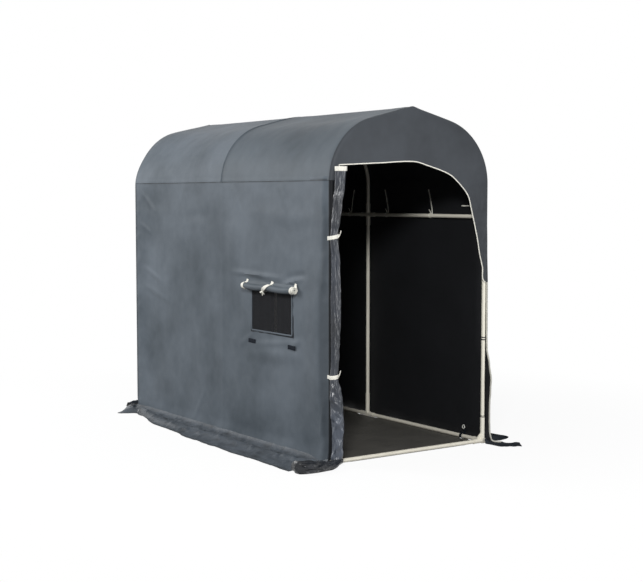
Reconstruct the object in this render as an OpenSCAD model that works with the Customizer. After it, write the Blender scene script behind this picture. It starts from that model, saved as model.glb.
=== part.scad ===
/* [Frame] */
// Width between the left and right post centre lines
frame_w = 890; // [780:5:1200]
// Depth between the front and rear hoop centre lines
frame_d = 1850; // [1600:10:2400]
// Height at which the roof bows begin to bend
bend_h = 1245; // [1220:5:1500]
// Bend radius of the roof bows at the tube centre line
bend_r = 285; // [180:5:310]
// Pitch of the straight part of the roof bows
roof_pitch = 14.5; // [10:0.5:25]
// How far below the start of the bend the side rails run
side_rail_drop = 155; // [125:5:345]
// Outside diameter of the frame tubes
tube_d = 19; // [17:0.5:22]

/* [Fittings] */
// Wall of the sleeves that take the tube ends
sleeve_wall = 1.4; // [1:0.1:3]
// How far a tube end goes into its sleeve
socket_depth = 34; // [20:1:36]
// Clearance all round between a tube end and its sleeve
socket_clear = 0.2; // [0.1:0.05:0.5]
// How far the mouth beads and hubs stand proud of the sleeves
bead_proud = 0.5; // [0.3:0.1:1.5]
// Length of the bead round each sleeve mouth
bead_l = 7; // [4:0.5:12]
// Height of the mouth of each foot's upright sleeve
foot_sleeve_h = 124; // [90:1:160]
// Reach of the level sleeves from the post centre line
sleeve_reach = 58; // [54:1:80]
// Leg of the gusset webs in the corner feet
gusset_leg = 26; // [15:1:30]
// Thickness of the gusset webs
gusset_t = 5; // [3:0.5:8]

/* [Cover] */
// Thickness of the cover fabric
fabric_t = 2; // [1:0.5:4]
// Gap between the cover and the fittings it is stretched over
cover_gap = 0.3; // [0.2:0.1:2]
// Height of the wall seam above the start of the roof bend
seam_rise = 17; // [8:1:60]
// Width of the ground skirts
skirt_w = 180; // [120:5:240]
// Thickness of the groundsheet
groundsheet_t = 1.5; // [1:0.5:3]

/* [Doorway] */
// Height of the doorway's top above the start of the roof bend
door_top_rise = 91; // [40:1:110]
// Slope of the doorway's top edge down to the left
door_top_slope = 2.2; // [1:0.1:5]
// Distance of the corner curve's centre from the right post
door_corner_in = 377; // [355:1:415]
// Radius of the doorway's corner curve
door_corner_r = 292; // [220:2:300]
// Lean of the doorway's right edge from the vertical
door_lean = 14; // [11:0.5:18]
// Width of the front panel's tip on the right post
door_tip_w = 8; // [5:1:14]
// Width of the loose zip strip that hangs in front of the right wall
zip_strip_w = 32; // [25:1:70]
// Width of the binding tape round the doorway
trim_w = 10; // [6:1:16]
// Thickness of the binding tape
trim_t = 1.6; // [1:0.2:3]

/* [Rolled door] */
// Radius of the rolled door where it hangs free
roll_r = 28; // [28:1:38]
// Radius of the rolled door where a strap draws it in
roll_waist_r = 24; // [22:1:27]
// Radius of the rolled door where it bags out near the ground
roll_bag_r = 39; // [39:1:46]
// Drop of the upper strap below the doorway's top
upper_strap_drop = 324; // [200:1:450]
// Height of the lower strap
lower_strap_h = 396; // [320:1:500]
// Width of the door straps
strap_w = 24; // [15:1:35]
// Thickness of the straps
strap_t = 1.6; // [1:0.1:2]
// Thickness of the gathered door skirt on the ground
bundle_t = 30; // [15:1:30]

/* [Window] */
// Length of the mesh window along the left wall
window_l = 346; // [200:2:420]
// Height of the mesh window
window_h = 186; // [120:2:220]
// Height of the window's lower edge
window_z = 552; // [500:1:620]
// Distance of the window's middle behind the front posts
window_in = 471; // [425:1:625]
// Radius of the rolled window flap
flap_r = 19; // [12:1:26]
// Length of the rolled window flap
flap_l = 450; // [440:2:520]
// Height of the rolled flap above the window's upper edge
flap_above = 22; // [22:1:60]

/* [Ties] */
// Width of the tie tapes
tie_w = 18; // [10:1:30]
// Distance of the inner side-rail ties from the middle hoop
inner_tie_y = 165; // [120:5:260]
// Distance of the outer side-rail ties from the end posts
outer_tie_in = 400; // [285:1:475]
// Distance of the base ties from the end posts
base_tie_in = 146; // [125:1:325]
// Height of the bands on the front posts
post_band_h = 499; // [300:1:700]

/* [Hidden] */
$fn = 96;

steel = "#e6e3d8";
cloth = "#5b636c";
dark_cloth = "#2b2e33";
tape = "#e8e6da";
net = "#2c2d31";

half_w = frame_w / 2;
half_d = frame_d / 2;
tube_r = tube_d / 2;
bore_r = tube_r + socket_clear;
sleeve_r = bore_r + sleeve_wall;
hub_r = sleeve_r + bead_proud;
base_h = hub_r;
foot_top = 2 * hub_r;
eps = 0.01;
lap = 0.05;
lap_run = 2.5;

in_off = hub_r + cover_gap;
out_off = in_off + fabric_t;
wall_in = half_w + in_off;
wall_out = half_w + out_off;
end_in = half_d + in_off;
end_out = half_d + out_off;

bend_x = half_w - bend_r;
slope_w = bend_x + bend_r * sin(roof_pitch);
ridge_h = bend_h + bend_x * tan(roof_pitch) + bend_r / cos(roof_pitch);
seam_angle = asin(seam_rise / (bend_r + out_off));
side_rail_h = bend_h - side_rail_drop;
door_top_h = bend_h + door_top_rise;
upper_strap_h = door_top_h - upper_strap_drop;
window_y = half_d - window_in;
outer_tie_y = half_d - outer_tie_in;
base_tie_y = half_d - base_tie_in;

joint_reach = socket_depth + hub_r + 4;
side_mouth = max(sleeve_reach, joint_reach);
post_bottom = foot_sleeve_h - socket_depth;
post_top = side_rail_h - side_mouth + socket_depth;
bow_bottom = side_rail_h + side_mouth - socket_depth;
rail_end = side_mouth - socket_depth;

door_c = [half_w - door_corner_in, door_top_h - door_corner_r];
door_tip_x = wall_out - door_tip_w;
door_level = [cos(door_top_slope), sin(door_top_slope)];
door_edge = [-sin(door_lean), cos(door_lean)];
flap_h = window_z + window_h + flap_above;
flap_sink = 1;
top_strap_drop = 45;
top_strap_h = door_top_h - top_strap_drop;
roll_x = -wall_out + 4;
roll_y = -end_out - roll_waist_r + 1;
roll_top = top_strap_h + strap_w / 2 + 2;
hem_w = 30;
toggle_d = 22;
toggle_t = 3;
patch_l = 60;
patch_h = 20;
far = 4000;

// Mirror copies across the middle plane between the left and right sides
module both_sides() {
    children();
    mirror([1, 0, 0]) children();
}

// Copies at the front and rear hoops, the front one as drawn
module front_and_rear() {
    children();
    mirror([0, 1, 0]) children();
}

// Closed tube along +Z from one height to another
module tube(from, to) {
    translate([0, 0, from]) cylinder(r = tube_r, h = to - from);
}

// Sleeve along +Z with a bead at its mouth, before it is bored
module sleeve(root, mouth, r = sleeve_r) {
    translate([0, 0, root]) cylinder(r = r, h = mouth - root);
    translate([0, 0, mouth - bead_l]) cylinder(r = hub_r + eps, h = bead_l);
}

// Blind bore that takes a tube end
module socket(mouth) {
    translate([0, 0, mouth - socket_depth]) cylinder(r = bore_r, h = socket_depth + 1);
}

module along_x() rotate([0, 90, 0]) children();
module along_y() rotate([-90, 0, 0]) children();

// Triangular web in the corner between two sleeves
module gusset(leg) {
    rotate([90, 0, 0])
        linear_extrude(gusset_t, center = true)
            polygon([[0, base_h], [sleeve_r + leg, base_h], [sleeve_r + leg, foot_top - 2],
                [sleeve_r, foot_top + leg], [0, foot_top + leg]]);
}

// Three-way foot at the front left corner, its level sleeves towards +X and +Y
module corner_foot() {
    difference() {
        union() {
            translate([-hub_r, -hub_r, 0]) cube([2 * hub_r, 2 * hub_r, foot_top]);
            sleeve(base_h, foot_sleeve_h);
            translate([0, 0, base_h]) along_x() sleeve(0, sleeve_reach);
            translate([0, 0, base_h]) along_y() sleeve(0, sleeve_reach);
            gusset(gusset_leg);
            rotate([0, 0, 90]) gusset(gusset_leg);
        }
        socket(foot_sleeve_h);
        translate([0, 0, base_h]) along_x() socket(sleeve_reach);
        translate([0, 0, base_h]) along_y() socket(sleeve_reach);
    }
}

// Three-way foot under a middle post
module middle_foot() {
    difference() {
        union() {
            translate([-hub_r, -hub_r, 0]) cube([2 * hub_r, 2 * hub_r, foot_top]);
            sleeve(base_h, foot_sleeve_h);
            for (a = [0, 180])
                rotate([0, 0, a])
                    translate([0, 0, base_h]) along_y() sleeve(0, sleeve_reach);
        }
        socket(foot_sleeve_h);
        for (a = [0, 180])
            rotate([0, 0, a])
                translate([0, 0, base_h]) along_y() socket(sleeve_reach);
    }
}

// Joint of a post, a roof bow and one or two side rails
module side_joint(ways) {
    difference() {
        union() {
            translate([0, 0, -side_mouth]) cylinder(r = hub_r, h = 2 * side_mouth);
            for (a = ways)
                rotate([0, 0, a]) along_y() sleeve(0, side_mouth);
        }
        for (a = [0, 180])
            rotate([a, 0, 0]) socket(side_mouth);
        for (a = ways)
            rotate([0, 0, a]) along_y() socket(side_mouth);
    }
}

// Joint of two roof bows and one or two ridge poles
module ridge_joint(ways) {
    difference() {
        union() {
            translate([0, -hub_r, 0]) along_y() cylinder(r = hub_r, h = 2 * hub_r);
            for (a = [90 + roof_pitch, -90 - roof_pitch])
                rotate([0, a, 0]) sleeve(0, side_mouth);
            for (a = ways)
                rotate([0, 0, a]) along_y() sleeve(0, side_mouth);
        }
        for (a = [90 + roof_pitch, -90 - roof_pitch])
            rotate([0, a, 0]) socket(side_mouth);
        for (a = ways)
            rotate([0, 0, a]) along_y() socket(side_mouth);
    }
}

// Right half of a roof bow: an upright leg, the bend and the sloping length to the ridge
module roof_bow() {
    translate([half_w, 0, 0]) tube(bow_bottom, bend_h);
    translate([bend_x, 0, bend_h])
        rotate([90, 0, 0])
            rotate_extrude(angle = 90 - roof_pitch)
                translate([bend_r, 0]) circle(r = tube_r);
    translate([0, 0, ridge_h])
        rotate([0, 90 + roof_pitch, 0])
            translate([0, 0, rail_end])
                cylinder(r = tube_r - lap, h = slope_w / cos(roof_pitch) + lap_run - rail_end);
}

// Quarter of a disc about the bend centre, between two angles from the level
module pie(r, a0, a1) {
    reach = 2 * r;
    intersection() {
        circle(r = r);
        polygon([[0, 0], [reach * cos(a0), reach * sin(a0)],
            [reach * cos((a0 + a1) / 2), reach * sin((a0 + a1) / 2)],
            [reach * cos(a1), reach * sin(a1)]]);
    }
}

// Curved strip of fabric about the bend centre
module curved_strip(a0, a1) {
    translate([bend_x, bend_h])
        difference() {
            pie(bend_r + out_off, a0, a1);
            circle(r = bend_r + in_off);
        }
}

// Where the slope runs into the bend, carried on a little way so that the two overlap
function slope_point(off) = [
    bend_x + (bend_r + off) * sin(roof_pitch) + lap_run * cos(roof_pitch),
    bend_h + (bend_r + off) * cos(roof_pitch) - lap_run * sin(roof_pitch)];
function ridge_point(off) = [0, ridge_h + off / cos(roof_pitch)];

// Right half of the closed outline of the shelter's end, upright in X and Z
module half_end_outline() {
    polygon([[0, fabric_t], [wall_out, fabric_t], [wall_out, bend_h], [bend_x, bend_h],
        slope_point(out_off - lap), ridge_point(out_off - lap)]);
    translate([bend_x, bend_h]) pie(bend_r + out_off, 0, 90 - roof_pitch);
}

module end_outline() {
    half_end_outline();
    mirror([1, 0]) half_end_outline();
}

// Upper end of the doorway's leaning edge, carried on a little way into the corner curve
function door_side(grow) = door_c + (door_corner_r + grow - lap) * [door_edge[1], -door_edge[0]]
    + lap_run * door_edge;
function door_tip_z(grow) = door_side(grow)[1]
    - (door_tip_x - door_side(grow)[0]) / tan(door_lean);

// Shape of the doorway, grown outwards by a margin, open below and to the left
module doorway(grow) {
    r = door_corner_r + grow;
    tip_z = door_tip_z(grow);
    top = door_c + (r - lap) * [-door_level[1], door_level[0]] + lap_run * door_level;
    polygon([[-far, -far], [far, -far], [far, tip_z], [door_tip_x, tip_z], door_side(grow),
        door_c, top, [-far, top[1] - (top[0] + far) * tan(door_top_slope)]]);
    translate(door_c) pie(r, door_lean, 90 + door_top_slope);
}

// Turns a flat outline upright and gives it a thickness towards the back from y
module upright(y, t) {
    translate([0, y + t, 0]) rotate([90, 0, 0]) linear_extrude(t) children();
}

// Everything in front of the front panel's outer face
module in_front() {
    translate([-far, -far - end_out, -far]) cube([2 * far, far, 2 * far]);
}

// Everything outside the left wall's outer face
module outside_left() {
    translate([-far - wall_out, -far, -far]) cube([far, 2 * far, 2 * far]);
}

// Tape loop round a rail along Y, with a tail up the inside of the right wall
module rail_tie(tail) {
    difference() {
        union() {
            translate([0, -tie_w / 2, 0]) along_y() cylinder(r = tube_r + 0.3 + strap_t, h = tie_w);
            translate([in_off - strap_t, -tie_w / 2, 0]) cube([strap_t, tie_w, tail]);
        }
        translate([0, -tie_w / 2 - 1, 0]) along_y() cylinder(r = tube_r + 0.3, h = tie_w + 2);
    }
}

module corner_feet() {
    color(steel)
        front_and_rear() both_sides()
            translate([-half_w, -half_d, 0]) corner_foot();
}

module middle_feet() {
    color(steel)
        both_sides() translate([-half_w, 0, 0]) middle_foot();
}

module front_posts() {
    color(steel)
        both_sides() translate([half_w, -half_d, 0]) tube(post_bottom, post_top);
}

module middle_posts() {
    color(steel)
        both_sides() translate([half_w, 0, 0]) tube(post_bottom, post_top);
}

module rear_posts() {
    color(steel)
        both_sides() translate([half_w, half_d, 0]) tube(post_bottom, post_top);
}

module corner_side_joints() {
    color(steel)
        front_and_rear() both_sides()
            translate([half_w, -half_d, side_rail_h]) side_joint([0]);
}

module middle_side_joints() {
    color(steel)
        both_sides() translate([half_w, 0, side_rail_h]) side_joint([0, 180]);
}

module front_roof_bows() {
    color(steel)
        both_sides() translate([0, -half_d, 0]) roof_bow();
}

module middle_roof_bows() {
    color(steel)
        both_sides() roof_bow();
}

module rear_roof_bows() {
    color(steel)
        both_sides() translate([0, half_d, 0]) roof_bow();
}

module ridge_joints() {
    color(steel) {
        front_and_rear() translate([0, -half_d, ridge_h]) ridge_joint([0]);
        translate([0, 0, ridge_h]) ridge_joint([0, 180]);
    }
}

// Two tubes along Y, one in the front bay and one in the rear bay
module bay_tubes(x, z, end) {
    front_and_rear()
        translate([x, 0, z]) along_y() tube(end, half_d - end);
}

module ridge_pole() {
    color(steel) bay_tubes(0, ridge_h, rail_end);
}

module left_side_rail() {
    color(steel) bay_tubes(-half_w, side_rail_h, rail_end);
}

module right_side_rail() {
    color(steel) bay_tubes(half_w, side_rail_h, rail_end);
}

module left_base_rail() {
    color(steel) bay_tubes(-half_w, base_h, sleeve_reach - socket_depth);
}

module right_base_rail() {
    color(steel) bay_tubes(half_w, base_h, sleeve_reach - socket_depth);
}

// Cross tube between the feet of one hoop
module base_bar(y) {
    inset = sleeve_reach - socket_depth;
    translate([0, y, base_h]) along_x() tube(-half_w + inset, half_w - inset);
}

module front_base_bar() {
    color(steel) base_bar(-half_d);
}

module rear_base_bar() {
    color(steel) base_bar(half_d);
}

// Right wall, its upper edge rolled over the start of the bend as far as the seam
module side_wall() {
    upright(-end_in, 2 * end_in) {
        translate([wall_in, fabric_t]) square([fabric_t, bend_h - fabric_t]);
        curved_strip(0, seam_angle);
    }
}

module right_wall() {
    color(cloth) side_wall();
}

module left_wall() {
    color(cloth)
        difference() {
            mirror([1, 0, 0]) side_wall();
            translate([-wall_out - 1, -window_y - window_l / 2, window_z])
                cube([fabric_t + 2, window_l, window_h]);
        }
}

module rear_wall() {
    color(cloth) upright(end_in, fabric_t) end_outline();
}

module front_gable() {
    color(cloth)
        upright(-end_out, fabric_t)
            difference() {
                end_outline();
                doorway(0);
            }
}

// Half of a roof panel, from the ridge down the slope and round the bend to the wall seam
module half_roof(y) {
    upright(y, end_in)
        polygon([ridge_point(in_off - lap), ridge_point(out_off - lap),
            slope_point(out_off - lap), slope_point(in_off - lap)]);
    upright(y, end_in) curved_strip(seam_angle, 90 - roof_pitch);
}

module roof_panel(y) {
    both_sides() half_roof(y);
}

module front_roof_panel() {
    color(cloth) roof_panel(-end_in);
}

module rear_roof_panel() {
    color(cloth) roof_panel(0);
}

// The door gathered against the front left corner, with its sewn edge behind it
module door_roll() {
    half_strap = strap_w / 2 + 1;
    bag_h = lower_strap_h * 0.4;
    profile = [[0, bundle_t + 0.3], [roll_r, bundle_t + 0.3], [roll_bag_r, bag_h],
        [roll_r + 2, lower_strap_h - 3 * half_strap], [roll_waist_r, lower_strap_h - half_strap],
        [roll_waist_r, lower_strap_h + half_strap], [roll_r, lower_strap_h + 6 * half_strap],
        [roll_r - 2, upper_strap_h - 4 * half_strap], [roll_waist_r, upper_strap_h - half_strap],
        [roll_waist_r, upper_strap_h + half_strap], [roll_r, upper_strap_h + 6 * half_strap],
        [roll_r, roll_top], [0, roll_top]];
    color(cloth) {
        intersection() {
            translate([roll_x, roll_y, 0]) rotate_extrude() polygon(profile);
            in_front();
        }
        translate([-wall_out, -end_out - eps, bundle_t + 0.3])
            cube([hem_w, fabric_t + eps, roll_top - bundle_t - 0.3]);
    }
}

// Loose strip with the fixed half of the zip, from the front panel's tip to the ground
module zip_strip() {
    tip_z = door_tip_z(0);
    color(cloth)
        translate([wall_in, -end_in, 0])
            rotate([90, 0, 90])
                linear_extrude(fabric_t)
                    polygon([[0, fabric_t], [-zip_strip_w, fabric_t],
                        [-zip_strip_w, tip_z * 0.55], [0, tip_z]]);
}

module door_trim() {
    color(tape)
        upright(-end_out - trim_t, trim_t)
            difference() {
                intersection() {
                    end_outline();
                    doorway(trim_w);
                }
                doorway(0);
            }
}

// Strap round the rolled door, sewn to the front edge at both ends
module door_strap(h, r) {
    intersection() {
        translate([roll_x, roll_y, h - strap_w / 2])
            difference() {
                cylinder(r = r + 0.3 + strap_t, h = strap_w);
                translate([0, 0, -1]) cylinder(r = r + 0.3, h = strap_w + 2);
            }
        in_front();
    }
}

module door_straps() {
    color(tape) {
        door_strap(top_strap_h, roll_r);
        door_strap(upper_strap_h, roll_waist_r);
        door_strap(lower_strap_h, roll_waist_r);
    }
}

module window_mesh() {
    lap = 15;
    color(net)
        translate([-wall_in, -window_y - window_l / 2 - lap, window_z - lap])
            cube([1, window_l + 2 * lap, window_h + 2 * lap]);
}

// Outline of the rolled flap and its sewn upper edge, as seen along the wall
module flap_outline(r) {
    translate([-wall_out - r + flap_sink, flap_h]) circle(r = r);
}

module window_flap() {
    color(cloth)
        intersection() {
            upright(-window_y - flap_l / 2, flap_l) {
                flap_outline(flap_r);
                translate([-wall_out - fabric_t, flap_h]) square([fabric_t + 1, 2 * flap_r]);
            }
            outside_left();
        }
}

// Tape round the rolled flap with a tab on the wall above it
module window_tie(y) {
    centre = [-wall_out - flap_r + flap_sink, flap_h];
    difference() {
        upright(y - tie_w / 2, tie_w) {
            difference() {
                translate(centre) circle(r = flap_r + 0.3 + strap_t);
                translate(centre) circle(r = flap_r + 0.3);
            }
            translate([-wall_out - fabric_t - strap_t - 0.3, flap_h + flap_r * 0.7])
                square([strap_t, 2 * flap_r]);
        }
        translate([-wall_out, y - tie_w, 0]) cube([far, 2 * tie_w, far]);
        translate([-wall_out - fabric_t - 0.3, y - tie_w, flap_h]) cube([far, 2 * tie_w, far]);
    }
}

module window_ties() {
    color(tape)
        for (y = [-flap_l / 2 + tie_w, 0, flap_l / 2 - tie_w])
            window_tie(-window_y + y);
}

module window_patches() {
    color(dark_cloth)
        for (s = [-1, 1])
            translate([-wall_out - strap_t, -window_y + s * window_l / 2 - patch_l / 2,
                window_z - 68])
                cube([strap_t, patch_l, patch_h]);
}

module left_skirt() {
    color(dark_cloth)
        translate([-wall_out - skirt_w, -end_in, 0])
            cube([skirt_w + fabric_t, 2 * end_in, fabric_t]);
}

module right_skirt() {
    color(dark_cloth)
        translate([wall_in, -end_in, 0])
            cube([skirt_w + fabric_t, 2 * end_in, fabric_t]);
}

module rear_skirt() {
    color(dark_cloth)
        translate([-wall_out, end_in, 0])
            cube([2 * wall_out, skirt_w + fabric_t, fabric_t]);
}

// The door's own skirt, gathered under the roll and laid out to the left
module door_skirt() {
    r = skirt_w * 0.22;
    run = skirt_w - r + 4;
    color(dark_cloth)
        translate([roll_x, -end_out - r - 6, 0])
            rotate([0, 0, 188]) {
                cylinder(r = r, h = bundle_t);
                translate([run, 0, 0]) cylinder(r = r, h = bundle_t);
                translate([0, -r, 0]) cube([run, 2 * r, bundle_t]);
            }
}

module front_skirt_tab() {
    color(dark_cloth)
        translate([half_w, -end_in, 0])
            rotate([0, 0, -35])
                translate([0, -skirt_w * 0.54, 0])
                    cube([skirt_w * 0.95, skirt_w * 0.54, fabric_t]);
}

module groundsheet() {
    sheet_x = half_w - hub_r - cover_gap;
    sheet_y = half_d - hub_r - cover_gap;
    color(dark_cloth)
        translate([-sheet_x, -sheet_y, 0])
            cube([2 * sheet_x, 2 * sheet_y, groundsheet_t]);
}

module side_rail_ties() {
    color(tape)
        both_sides() front_and_rear()
            for (y = [inner_tie_y, outer_tie_y])
                translate([half_w, -y, side_rail_h]) rail_tie(6 * tie_w);
}

module base_ties() {
    color(dark_cloth)
        both_sides() front_and_rear()
            translate([half_w, -base_tie_y, base_h]) rail_tie(3 * tie_w);
}

module base_tie_buttons() {
    color(tape)
        both_sides() front_and_rear()
            translate([wall_in - strap_t - toggle_t, -base_tie_y, base_h + 2.45 * tie_w])
                along_x() cylinder(d = toggle_d, h = toggle_t);
}

module post_bands() {
    color(dark_cloth)
        both_sides()
            translate([half_w, -half_d, post_band_h])
                difference() {
                    cylinder(r = tube_r + 0.3 + strap_t, h = tie_w);
                    translate([0, 0, -1]) cylinder(r = tube_r + 0.3, h = tie_w + 2);
                }
}

corner_feet();
middle_feet();
front_posts();
middle_posts();
rear_posts();
corner_side_joints();
middle_side_joints();
front_roof_bows();
middle_roof_bows();
rear_roof_bows();
ridge_joints();
ridge_pole();
left_side_rail();
right_side_rail();
left_base_rail();
right_base_rail();
front_base_bar();
rear_base_bar();
left_wall();
right_wall();
rear_wall();
front_gable();
front_roof_panel();
rear_roof_panel();
door_roll();
zip_strip();
door_trim();
door_straps();
window_mesh();
window_flap();
window_ties();
window_patches();
left_skirt();
right_skirt();
rear_skirt();
door_skirt();
front_skirt_tab();
groundsheet();
side_rail_ties();
base_ties();
base_tie_buttons();
post_bands();
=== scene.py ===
"""Looks of a bike shelter: a cream tube frame under a fitted slate cloth cover with a rolled door.

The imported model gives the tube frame. Every cloth piece is made here, in metres and in the frame's own axes:
+Z is up, the doorway looks towards -Y and the wall with the window looks towards -X.
"""

import logging
import math
from dataclasses import dataclass
from enum import Enum
from math import cos, pi, radians, sin
from typing import Any, Callable, Optional, Sequence

import bmesh
import bpy
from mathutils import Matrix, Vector
from mathutils.geometry import interpolate_bezier
from mathutils.noise import noise


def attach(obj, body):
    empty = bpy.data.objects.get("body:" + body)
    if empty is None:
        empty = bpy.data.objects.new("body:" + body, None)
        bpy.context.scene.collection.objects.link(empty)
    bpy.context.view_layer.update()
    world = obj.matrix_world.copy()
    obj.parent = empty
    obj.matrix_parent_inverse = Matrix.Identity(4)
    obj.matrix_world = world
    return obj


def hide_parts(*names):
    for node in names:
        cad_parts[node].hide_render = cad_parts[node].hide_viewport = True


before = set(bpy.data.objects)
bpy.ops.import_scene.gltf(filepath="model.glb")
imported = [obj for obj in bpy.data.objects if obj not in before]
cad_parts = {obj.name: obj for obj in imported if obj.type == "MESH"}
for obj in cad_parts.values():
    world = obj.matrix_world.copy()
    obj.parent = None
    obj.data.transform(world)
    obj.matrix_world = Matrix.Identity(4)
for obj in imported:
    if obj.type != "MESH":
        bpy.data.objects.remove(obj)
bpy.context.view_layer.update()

LOG = logging.getLogger("bike_shelter")
ROOT = "root"
CLOTH_UV = "cloth"
# Vertex layer for sewn lines, which also carries painted shade and, on the door's bag, a painted highlight
SEAM_AND_PAINTED_LIGHT = "sewn"
UP = Vector((0, 0, 1))
# Thickness of the drawn cloth, its lowest edge on the walls, and the roof's lap below its seam
CLOTH_T = 0.0012
FOOT_Z = 0.004
SEAM_LAP = 0.004
# The window's front, rear, sill and head
WINDOW_OPENING = (-0.627, -0.281, 0.552, 0.738)

Place = Callable[[float, float], Vector]
Amount = Callable[[float, float], float]
Pair = tuple[float, float]
Triple = tuple[float, float, float]
Numbers = tuple[float, ...]
Rows = tuple[Pair, ...]
Waves = tuple[Triple, ...]
Mesh = bmesh.types.BMesh
Material = bpy.types.Material
Tree = bpy.types.NodeTree
Socket = bpy.types.NodeSocket


class Slot(Enum):
    """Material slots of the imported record."""

    STEEL = "frame_steel"
    COVER = "cover_cloth"
    SKIRT = "skirt_cloth"
    TAPE = "binding_tape"
    DARK = "dark_tape"
    NET = "window_net"
    FLOOR = "floor_sheet"
    BUTTON = "button_plastic"


class Hold(Enum):
    """Ways in which a sheet of cloth is held."""

    HUNG = "hung"
    STRETCHED = "stretched"
    FOLDED = "folded"
    GATHERED = "gathered"
    LAID = "laid"


def linear(code: str) -> tuple[float, float, float, float]:
    """Turns an sRGB hex value into linear colour.

    Args:
        code: the colour as a hash mark and six digits.

    Returns:
        Linear red, green and blue, and full cover.
    """
    parts = [int(code[k:k + 2], 16) / 255 for k in (1, 3, 5)]
    red, green, blue = (c / 12.92 if c <= 0.04045 else ((c + 0.055) / 1.055) ** 2.4 for c in parts)
    return red, green, blue, 1.0


def add_node(
    tree: Tree, kind: str, settings: Optional[dict[Any, Any]] = None, links: Optional[dict[Any, Socket]] = None
) -> bpy.types.Node:
    """Adds one node with its settings and links.

    Args:
        tree: the material's or world's nodes.
        kind: the node's type name, after ShaderNode.
        settings: values by the name of a property, or by the name or number of an input.
        links: output sockets by the name or number of the input that they feed.

    Returns:
        The new node.
    """
    node = tree.nodes.new("ShaderNode" + kind)
    for key, value in (settings or {}).items():
        if isinstance(key, str) and hasattr(node, key):
            setattr(node, key, value)
        else:
            node.inputs[key].default_value = value
    for key, source in (links or {}).items():
        tree.links.new(source, node.inputs[key])
    return node


def ladder(stops: Sequence[float], step: float) -> list[float]:
    """Lists values that pass through every stop and lie no further apart than a step.

    Args:
        stops: the values to pass through, rising.
        step: the widest gap.

    Returns:
        The values, rising.
    """
    rungs = [stops[0]]
    for low, high in zip(stops, stops[1:]):
        count = max(1, math.ceil((high - low) / step - 1e-6))
        rungs += [low + (high - low) * k / count for k in range(1, count + 1)]
    return rungs


def bell(x: float, width: float) -> float:
    """Gives 1 at zero and falls away softly over a width."""
    return math.exp(-((x / width) ** 2))


def ramp(x: float, low: float, high: float) -> float:
    """Rises smoothly from 0 at low to 1 at high."""
    t = min(1.0, max(0.0, (x - low) / (high - low)))
    return t * t * (3 - 2 * t)


def table(rows: Rows, x: float) -> float:
    """Reads a value from rows of rising x, with smooth steps between them.

    Args:
        rows: pairs of x and value.
        x: where to read.

    Returns:
        The value there.
    """
    if x <= rows[0][0]:
        return rows[0][1]
    for (x0, a), (x1, b) in zip(rows, rows[1:]):
        if x <= x1:
            return a + (b - a) * ramp(x, x0, x1)
    return rows[-1][1]


def crumple(spot: Vector) -> float:
    """Gives sharp ridges and wide hollows, as creased cloth has.

    Args:
        spot: the place in the noise.

    Returns:
        The height, between about -0.6 and 0.4.
    """
    sharp = 1 - abs(noise(spot)) * 1.9
    fine = 1 - abs(noise(spot * 2.3 + Vector((7.1, 3.3, 1.7)))) * 1.9
    return 0.7 * sharp + 0.3 * fine - 0.6


def facets(spot: Vector, waves: Waves) -> float:
    """Gives planes that meet in straight creases, as in stiff cloth that is crushed.

    Args:
        spot: the place on the cloth in metres, and a number that tells pieces apart.
        waves: for each set of creases the way that they cross, their distance and their share.

    Returns:
        The height, between about -1 and 1.
    """
    total = 0.0
    for lean, wave, share in waves:
        way = spot.x * cos(lean) + spot.y * sin(lean)
        t = way / wave + spot.z + 0.5 * noise(Vector((spot.x * 14, spot.y * 14, spot.z + 40 * wave)))
        total += share * (4 * abs(t - math.floor(t + 0.5)) - 1)
    return total


def lay_cloth(
    us: Sequence[float],
    vs: Sequence[float],
    place: Place,
    facing: Vector,
    sewn: Optional[Amount] = None,
    flat: Optional[Callable[[float, float], Pair]] = None,
) -> Mesh:
    """Lays a grid over two ladders of flat places and moves each point to where the cloth hangs.

    Args:
        us: flat places across the cloth.
        vs: flat places along it.
        place: gives the cloth's outer face at a flat place.
        facing: the way in which the outer face looks on the whole.
        sewn: gives how much of a sewn line, painted shade or painted highlight lies at a flat place, from 0 to 1.
        flat: gives the place on the weave in metres, where us and vs aren't metres.

    Returns:
        The open sheet.
    """
    cloth = bmesh.new()
    bmesh.ops.create_grid(cloth, x_segments=len(us) - 1, y_segments=len(vs) - 1, size=1.0)
    weave = cloth.loops.layers.uv.new(CLOTH_UV)
    line = cloth.verts.layers.float.new(SEAM_AND_PAINTED_LIGHT)
    spots: dict[bmesh.types.BMVert, Pair] = {}
    for vert in cloth.verts:
        u = us[round((vert.co.x + 1) / 2 * (len(us) - 1))]
        v = vs[round((vert.co.y + 1) / 2 * (len(vs) - 1))]
        spots[vert] = (u, v)
        vert.co = place(u, v)
        vert[line] = sewn(u, v) if sewn else 0.0
    for face in cloth.faces:
        for loop in face.loops:
            u, v = spots[loop.vert]
            loop[weave].uv = flat(u, v) if flat else (u, v)
    cloth.normal_update()
    if sum((f.normal * f.calc_area() for f in cloth.faces), Vector()).dot(facing) < 0:
        bmesh.ops.reverse_faces(cloth, faces=cloth.faces[:])
    return cloth


def thicken(cloth: Mesh, thickness: float, inner: int = 0) -> float:
    """Gives a sheet its thickness behind its outer face.

    Args:
        cloth: the open sheet, which becomes a closed shell.
        thickness: the cloth's thickness.
        inner: the material number of the back face.

    Returns:
        The area of the sheet.
    """
    area = sum(face.calc_area() for face in cloth.faces)
    made = bmesh.ops.solidify(cloth, geom=cloth.faces[:], thickness=thickness)
    for part in made["geom"]:
        if isinstance(part, bmesh.types.BMFace):
            part.material_index = inner
    return area


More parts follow.
